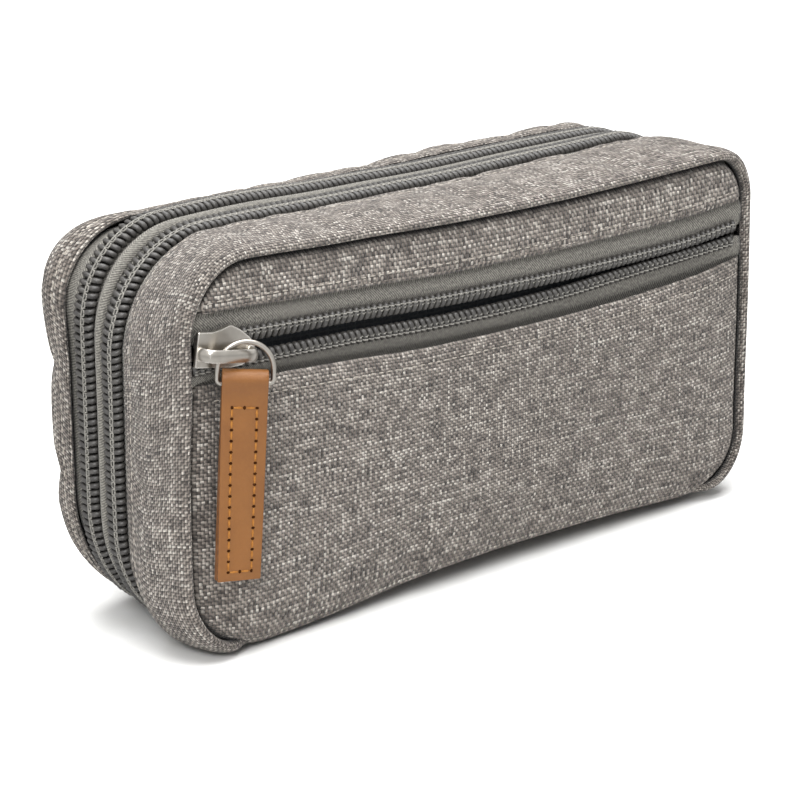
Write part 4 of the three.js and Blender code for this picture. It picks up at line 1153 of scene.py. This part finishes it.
low, high = lowest("gel_pack"), highest("gel_pack")
FILM_SHARE, PILLOW_SHARE, RIM_SHARE = 0.985, 0.62, 0.06
bm = bmesh.new()
row_of = bm.verts.layers.int.new("row")
bmesh.ops.create_cube(bm, size=1)
level_edges = [e for e in bm.edges if abs(e.verts[0].co.y - e.verts[1].co.y) < 0.1]
bmesh.ops.subdivide_edges(bm, edges=level_edges, cuts=15, use_grid_fill=True)
size, centre = high - low, (high + low) / 2
for vert in bm.verts:
    reach = max(abs(vert.co.x), abs(vert.co.z)) * 2
    flat_by = PILLOW_SHARE * math.sqrt(max(1 - reach ** 6, 0)) + RIM_SHARE
    vert.co = centre + vert.co * size * Vector((FILM_SHARE, flat_by, FILM_SHARE))
    vert[row_of] = 1 if reach > 0.999 else 0
gel_pack = piece("gel_pack_pillow", bm, "core", "gel", gel, stands_for=["gel_pack"], rounds=1)
swell(gel_pack, {1}, pressure=2.0, cap=1.3, slack=0.03)
print("net pocket and gel pack", [round(s) for s in size])

# %% [markdown]
# ## Sliders
# A slider is a zinc casting: two plates joined by a web, with a bail over the top plate that the ring runs
# through. Its top plate has a crown, because the two halves of the chain spread there. Each plate starts
# from a few corners, is extruded, pillowed by an inset and bevelled, so its edges catch the light. The bail
# is a tube along an arch that is drawn from the side, spread across to a flat oval.

# %% Sliders
CHANNEL, TOP_PLATE, BASE_PLATE, BAIL_SINK = 3.5, 1.2, 0.9, 0.3


def cast(bm, corners, z0, z1, edge, turn=Matrix(), pillow=0.0):
    """Adds a casting to bm: a few corners raised from z0 to z1, pillowed and bevelled, then turned."""
    base = bm.faces.new([bm.verts.new((x, y, z0)) for x, y in corners])
    raised = bmesh.ops.extrude_face_region(bm, geom=[base])["geom"]
    top = next(f for f in raised if isinstance(f, bmesh.types.BMFace))
    bmesh.ops.translate(bm, vec=(0, 0, z1 - z0), verts=top.verts[:])
    new = set(base.verts) | set(top.verts)
    if pillow:
        ring = bmesh.ops.inset_region(bm, faces=[top], thickness=3 * pillow, depth=pillow)["faces"]
        new |= {v for f in ring for v in f.verts}
    edges = [e for e in bm.edges if all(end in new for end in e.verts)]
    sharp = [e for e in edges if len(e.link_faces) == 2 and e.calc_face_angle(0) > 0.5]
    made = bmesh.ops.bevel(bm, geom=sharp, offset=edge, offset_type="OFFSET", segments=2, profile=0.5,
                           affect="EDGES", material=-1, clamp_overlap=True)
    new = {v for v in new if v.is_valid} | set(made["verts"])
    bmesh.ops.transform(bm, matrix=turn, verts=list(new))


CROWNED = ((-0.5, 4.1), (-0.27, 4.15), (-0.13, 4.7), (0.01, 5.7), (0.05, 5.65), (0.2, 4.6), (0.36, 2.9),
           (0.46, 1.3))
STRAIGHT = ((-0.5, -4.3), (0.1, -4.4), (0.28, -3.9), (0.41, -2.6), (0.485, -0.9))
SLIM = ((-0.5, 3.8), (-0.2, 3.8), (0.0, 4.4), (0.1, 4.2), (0.3, 3.2), (0.44, 2.0), (0.5, 0.8))


def slider(name, body, place, length, upper, lower, base_width, web, bail):
    """A slider drawn with X along the zip, Y across and Z outwards, then put in its place. Each side of its
    plate is drawn by (share of the length, distance) pairs from the tail to the nose; bail is (reach, width,
    leg, tunnel, bar, shift, drop)."""
    half = CHANNEL / 2
    reach, width, leg, tunnel, bar, shift, drop = bail
    bm = bmesh.new()
    plate = [(share * length, y) for share, y in (*upper, *lower[::-1])]
    cast(bm, plate, half, half + TOP_PLATE, edge=0.3, pillow=0.16)
    base = [(x, max(min(y, base_width / 2), -base_width / 2)) for x, y in plate]
    cast(bm, base, -half - BASE_PLATE, -half, edge=0.25)
    post = ((length / 8 - web[0], web[1] / 2), (length / 8, web[1] / 2), (length / 8, -web[1] / 2),
            (length / 8 - web[0], -web[1] / 2))
    cast(bm, post, -half - 0.2, half + 0.2, edge=0.15)
    top, foot = half + TOP_PLATE + tunnel + bar / 2, half + TOP_PLATE - BAIL_SINK
    arch = [(-reach, foot), (-reach, top - leg), (-reach + leg * 0.3, top - leg * 0.3), (-reach + leg, top),
            (-reach / 3, top), (reach / 3, top), (reach - leg * 1.6, top),
            (reach - leg * 0.7, top - leg * 0.3), (reach - leg * 0.2, top - leg), (reach, foot)]
    old = len(bm.verts)
    tube(bm, [Vector((x + shift, 0, z)) for x, z in arch], bar / 2, sides=3)
    bm.verts.ensure_lookup_table()
    bmesh.ops.scale(bm, vec=(1, width / bar, 1), verts=bm.verts[old:])
    bmesh.ops.translate(bm, vec=(0, -drop, 0), verts=bm.verts[old:])
    bmesh.ops.recalc_face_normals(bm, faces=bm.faces[:])
    bmesh.ops.transform(bm, matrix=place, verts=bm.verts[:])
    made = piece(f"{name}_casting", bm, body, "slider_metal", nickel, stands_for=[name], settled=False)
    made.data.set_sharp_from_angle(angle=math.radians(40))
    made.modifiers.new("even_normals", "WEIGHTED_NORMAL").keep_sharp = True


def frame_at(origin, x, y, z):
    """The matrix that puts local axes at a place."""
    return Matrix.Translation(origin) @ Matrix((x, y, z)).transposed().to_4x4()


EAST, NORTH, SKY = Vector((1, 0, 0)), Vector((0, 1, 0)), Vector((0, 0, 1))
low, high = lowest("pocket_zip_slider"), highest("pocket_zip_slider")
pocket_spot = Vector(((low.x + high.x) / 2, high.y - CHANNEL / 2 - BASE_PLATE, (low.z + high.z) / 2))
NUDGE = EAST * 0.45 + SKY * 0.1
NOSE_DOWN = Matrix.Rotation(math.radians(-9), 4, "Z")
slider("pocket_zip_slider", "pocket_slider", frame_at(pocket_spot + NUDGE, EAST, SKY, -NORTH) @ NOSE_DOWN,
       length=17.8, upper=CROWNED, lower=STRAIGHT, base_width=7.6, web=(5.0, 2.6),
       bail=(7.6, 3.2, 1.9, 2.9, 1.5, -0.3, 0.9))
for name, y, body in (("front_zip", FRONT_ZIP, "front_slider"), ("rear_zip", REAR_ZIP, "rear_slider")):
    low, high = lowest(f"{name}_slider"), highest(f"{name}_slider")
    spot = Vector((low.x + BASE_PLATE + CHANNEL / 2, y, (low.z + high.z) / 2))
    slider(f"{name}_slider", body, frame_at(spot, SKY, -NORTH, EAST), length=15.0, upper=SLIM,
           lower=[(share, -y) for share, y in SLIM], base_width=6.6, web=(4.0, 0.4),
           bail=(5.0, 2.2, 1.4, 2.3, 1.2, 0.0, 0.0))
print("three sliders, the pocket's at", [round(c, 1) for c in pocket_spot])

# %% [markdown]
# ## D-rings and leather pulls
# A D-ring of wire hangs in the bail, and a strip of leather is folded over the ring's straight bar and
# stitched to itself. The ring is a closed tube. The pull is a grid that runs up the back, over the bar and
# down the front, with the Solidify modifier giving the leather its thickness and its darker cut edge. The
# stitches are a rectangle of needle holes, each a small dark ball of painted shade, with waxed thread
# between them.

# %% Rings and pulls
def d_ring(name, body, place, radius, drop, wire):
    """A D of wire, its arc about the origin and its bar below, in the XY plane of its place."""
    turn = 1.1
    angles = [math.pi * k / 24 for k in range(25)]
    points = [Vector((radius * math.cos(angle), radius * math.sin(angle), 0)) for angle in angles]
    for x, start in ((-radius + turn, 180), (radius - turn, 270)):
        for k in range(7):
            angle = math.radians(start + 15 * k)
            points.append(Vector((x + turn * math.cos(angle), -drop + turn * math.sin(angle), 0)))
    bm = bmesh.new()
    tube(bm, [place @ p for p in points], wire / 2, sides=2, closed=True)
    piece(f"{name}_wire", bm, body, "slider_metal", nickel, stands_for=[name], settled=False)


def ball(bm, matrix, finish_index):
    """Adds a small ball with few faces."""
    old = len(bm.faces)
    bmesh.ops.create_uvsphere(bm, u_segments=6, v_segments=4, radius=1, matrix=matrix)
    bm.faces.ensure_lookup_table()
    for face in bm.faces[old:]:
        face.material_index = finish_index


PULL_COLUMNS, NECK, FOLD_GAP = 8, 4.2, 0.02
# The size of each needle hole's dark ball of painted shade: along, across and out.
HOLE_SHADE_SIZE = (0.38, 0.5, 0.2)


def pull(name, body, place, width, length, leather_by, bore, drop, stitched, twist=(0, 0)):
    """A leather strip folded over a bar that lies drop below the origin, and twisted from one angle to
    another; stitched is (width, top, bottom, stitches)."""
    round_bar = bore + leather_by / 2
    lie = leather_by / 2 + FOLD_GAP
    leg = [(lie, -drop - length + (length - NECK) * k / 16) for k in range(17)]
    leg += [(lie * 1.25, -drop - 3.0), (lie * 1.8, -drop - 1.9)]
    arc = [(round_bar * math.cos(a), -drop + round_bar * math.sin(a))
           for a in (math.radians(-20 + 20 * k) for k in range(11))]
    line = leg + arc + [(-n, y) for n, y in reversed(leg)]

    def twisted(y):
        share = min(max((-drop - y) / length, 0), 1)
        return Matrix.Rotation(math.radians(twist[0] + (twist[1] - twist[0]) * share), 4, "Y")

    def on_strip(column, row):
        n, y = line[-1 - row]
        x = (column / PULL_COLUMNS - 0.5) * width
        return place @ twisted(y) @ Vector((x, y, n)), (x, y)

    made = piece(f"{name}_strip", grid(PULL_COLUMNS, len(line) - 1, on_strip), body, "leather", leather,
                 leather_edge, stands_for=[name], settled=False)
    hide = made.modifiers.new("hide", "SOLIDIFY")
    hide.thickness, hide.offset, hide.material_offset_rim = leather_by * MM, 0, 1
    soft = made.modifiers.new("rounded", "BEVEL")
    soft.width, soft.segments, soft.limit_method, soft.angle_limit = 0.22 * MM, 2, "ANGLE", math.radians(50)

    across_by, top, bottom, stitches = stitched
    high, low = -drop + bore + leather_by - top, -drop - length + bottom
    path = [(across_by / 2, high + (low - high) * k / stitches) for k in range(stitches + 1)]
    path += [(0, low)] + [(-x, y) for x, y in reversed(path)] + [(0, high), (across_by / 2, high)]
    bm = bmesh.new()
    for level in (lie + leather_by / 2, -lie - leather_by / 2):
        for (x0, y0), (x1, y1) in zip(path, path[1:]):
            way = Vector((x1 - x0, y1 - y0, 0))
            turn = place @ twisted((y0 + y1) / 2)
            side = Vector((-way.y, way.x, 0)).normalized()
            for x, y, axes, index in (((x0 + x1) / 2, (y0 + y1) / 2, (way.length * 0.44, 0.3, 0.25), 0),
                                      (x0, y0, HOLE_SHADE_SIZE, 1)):
                here = frame_at((x, y, level), way.normalized(), side, SKY)
                ball(bm, turn @ here @ Matrix.Diagonal((*axes, 1)), index)
    piece(f"{name}_stitches", bm, body, "leather", leather_thread, needle_hole_painted_shade, settled=False)


TWIST = math.radians(30)
ring_low, ring_high = lowest("pocket_zip_ring"), highest("pocket_zip_ring")
bar_way = Vector((math.cos(TWIST), -math.sin(TWIST), 0))
outward = Vector((-math.sin(TWIST), -math.cos(TWIST), 0))
POCKET_RING, POCKET_DROP, POCKET_WIRE = 6.6, 2.3, 1.25
LEAN = Matrix.Rotation(math.radians(-3.4), 4, "Z")
ring_spot = Vector(((ring_low.x + ring_high.x) / 2, (ring_low.y + ring_high.y) / 2, ring_high.z - 8.3))
hung = frame_at(ring_spot, bar_way, SKY, outward) @ LEAN
d_ring("pocket_zip_ring", "pocket_ring", hung, POCKET_RING, POCKET_DROP, POCKET_WIRE)
pull("pocket_zip_pull", "pocket_pull", hung, width=10.8, length=48.9, leather_by=1.3, bore=1.0,
     drop=POCKET_DROP, stitched=(5.8, 8.9, 2.3, 15), twist=(-7, 12))

END_RING, END_DROP, END_WIRE = 4.1, 2.8, 1.3
for name, y, which in (("front_zip", FRONT_ZIP, "front"), ("rear_zip", REAR_ZIP, "rear")):
    ring_low, ring_high = lowest(f"{name}_ring"), highest(f"{name}_ring")
    spot = Vector(((ring_low.x + ring_high.x) / 2, y, ring_high.z - END_RING - 0.7))
    hung = frame_at(spot, NORTH, SKY, EAST)
    d_ring(f"{name}_ring", f"{which}_ring", hung, END_RING, END_DROP, END_WIRE)
    pull(f"{name}_pull", f"{which}_pull", hung, width=6.2, length=22.0, leather_by=1.0, bore=0.9,
         drop=END_DROP, stitched=(3.0, 6.0, 2.0, 6))
print("three D-rings and three pulls; the pocket's ring at", [round(c, 1) for c in ring_spot])
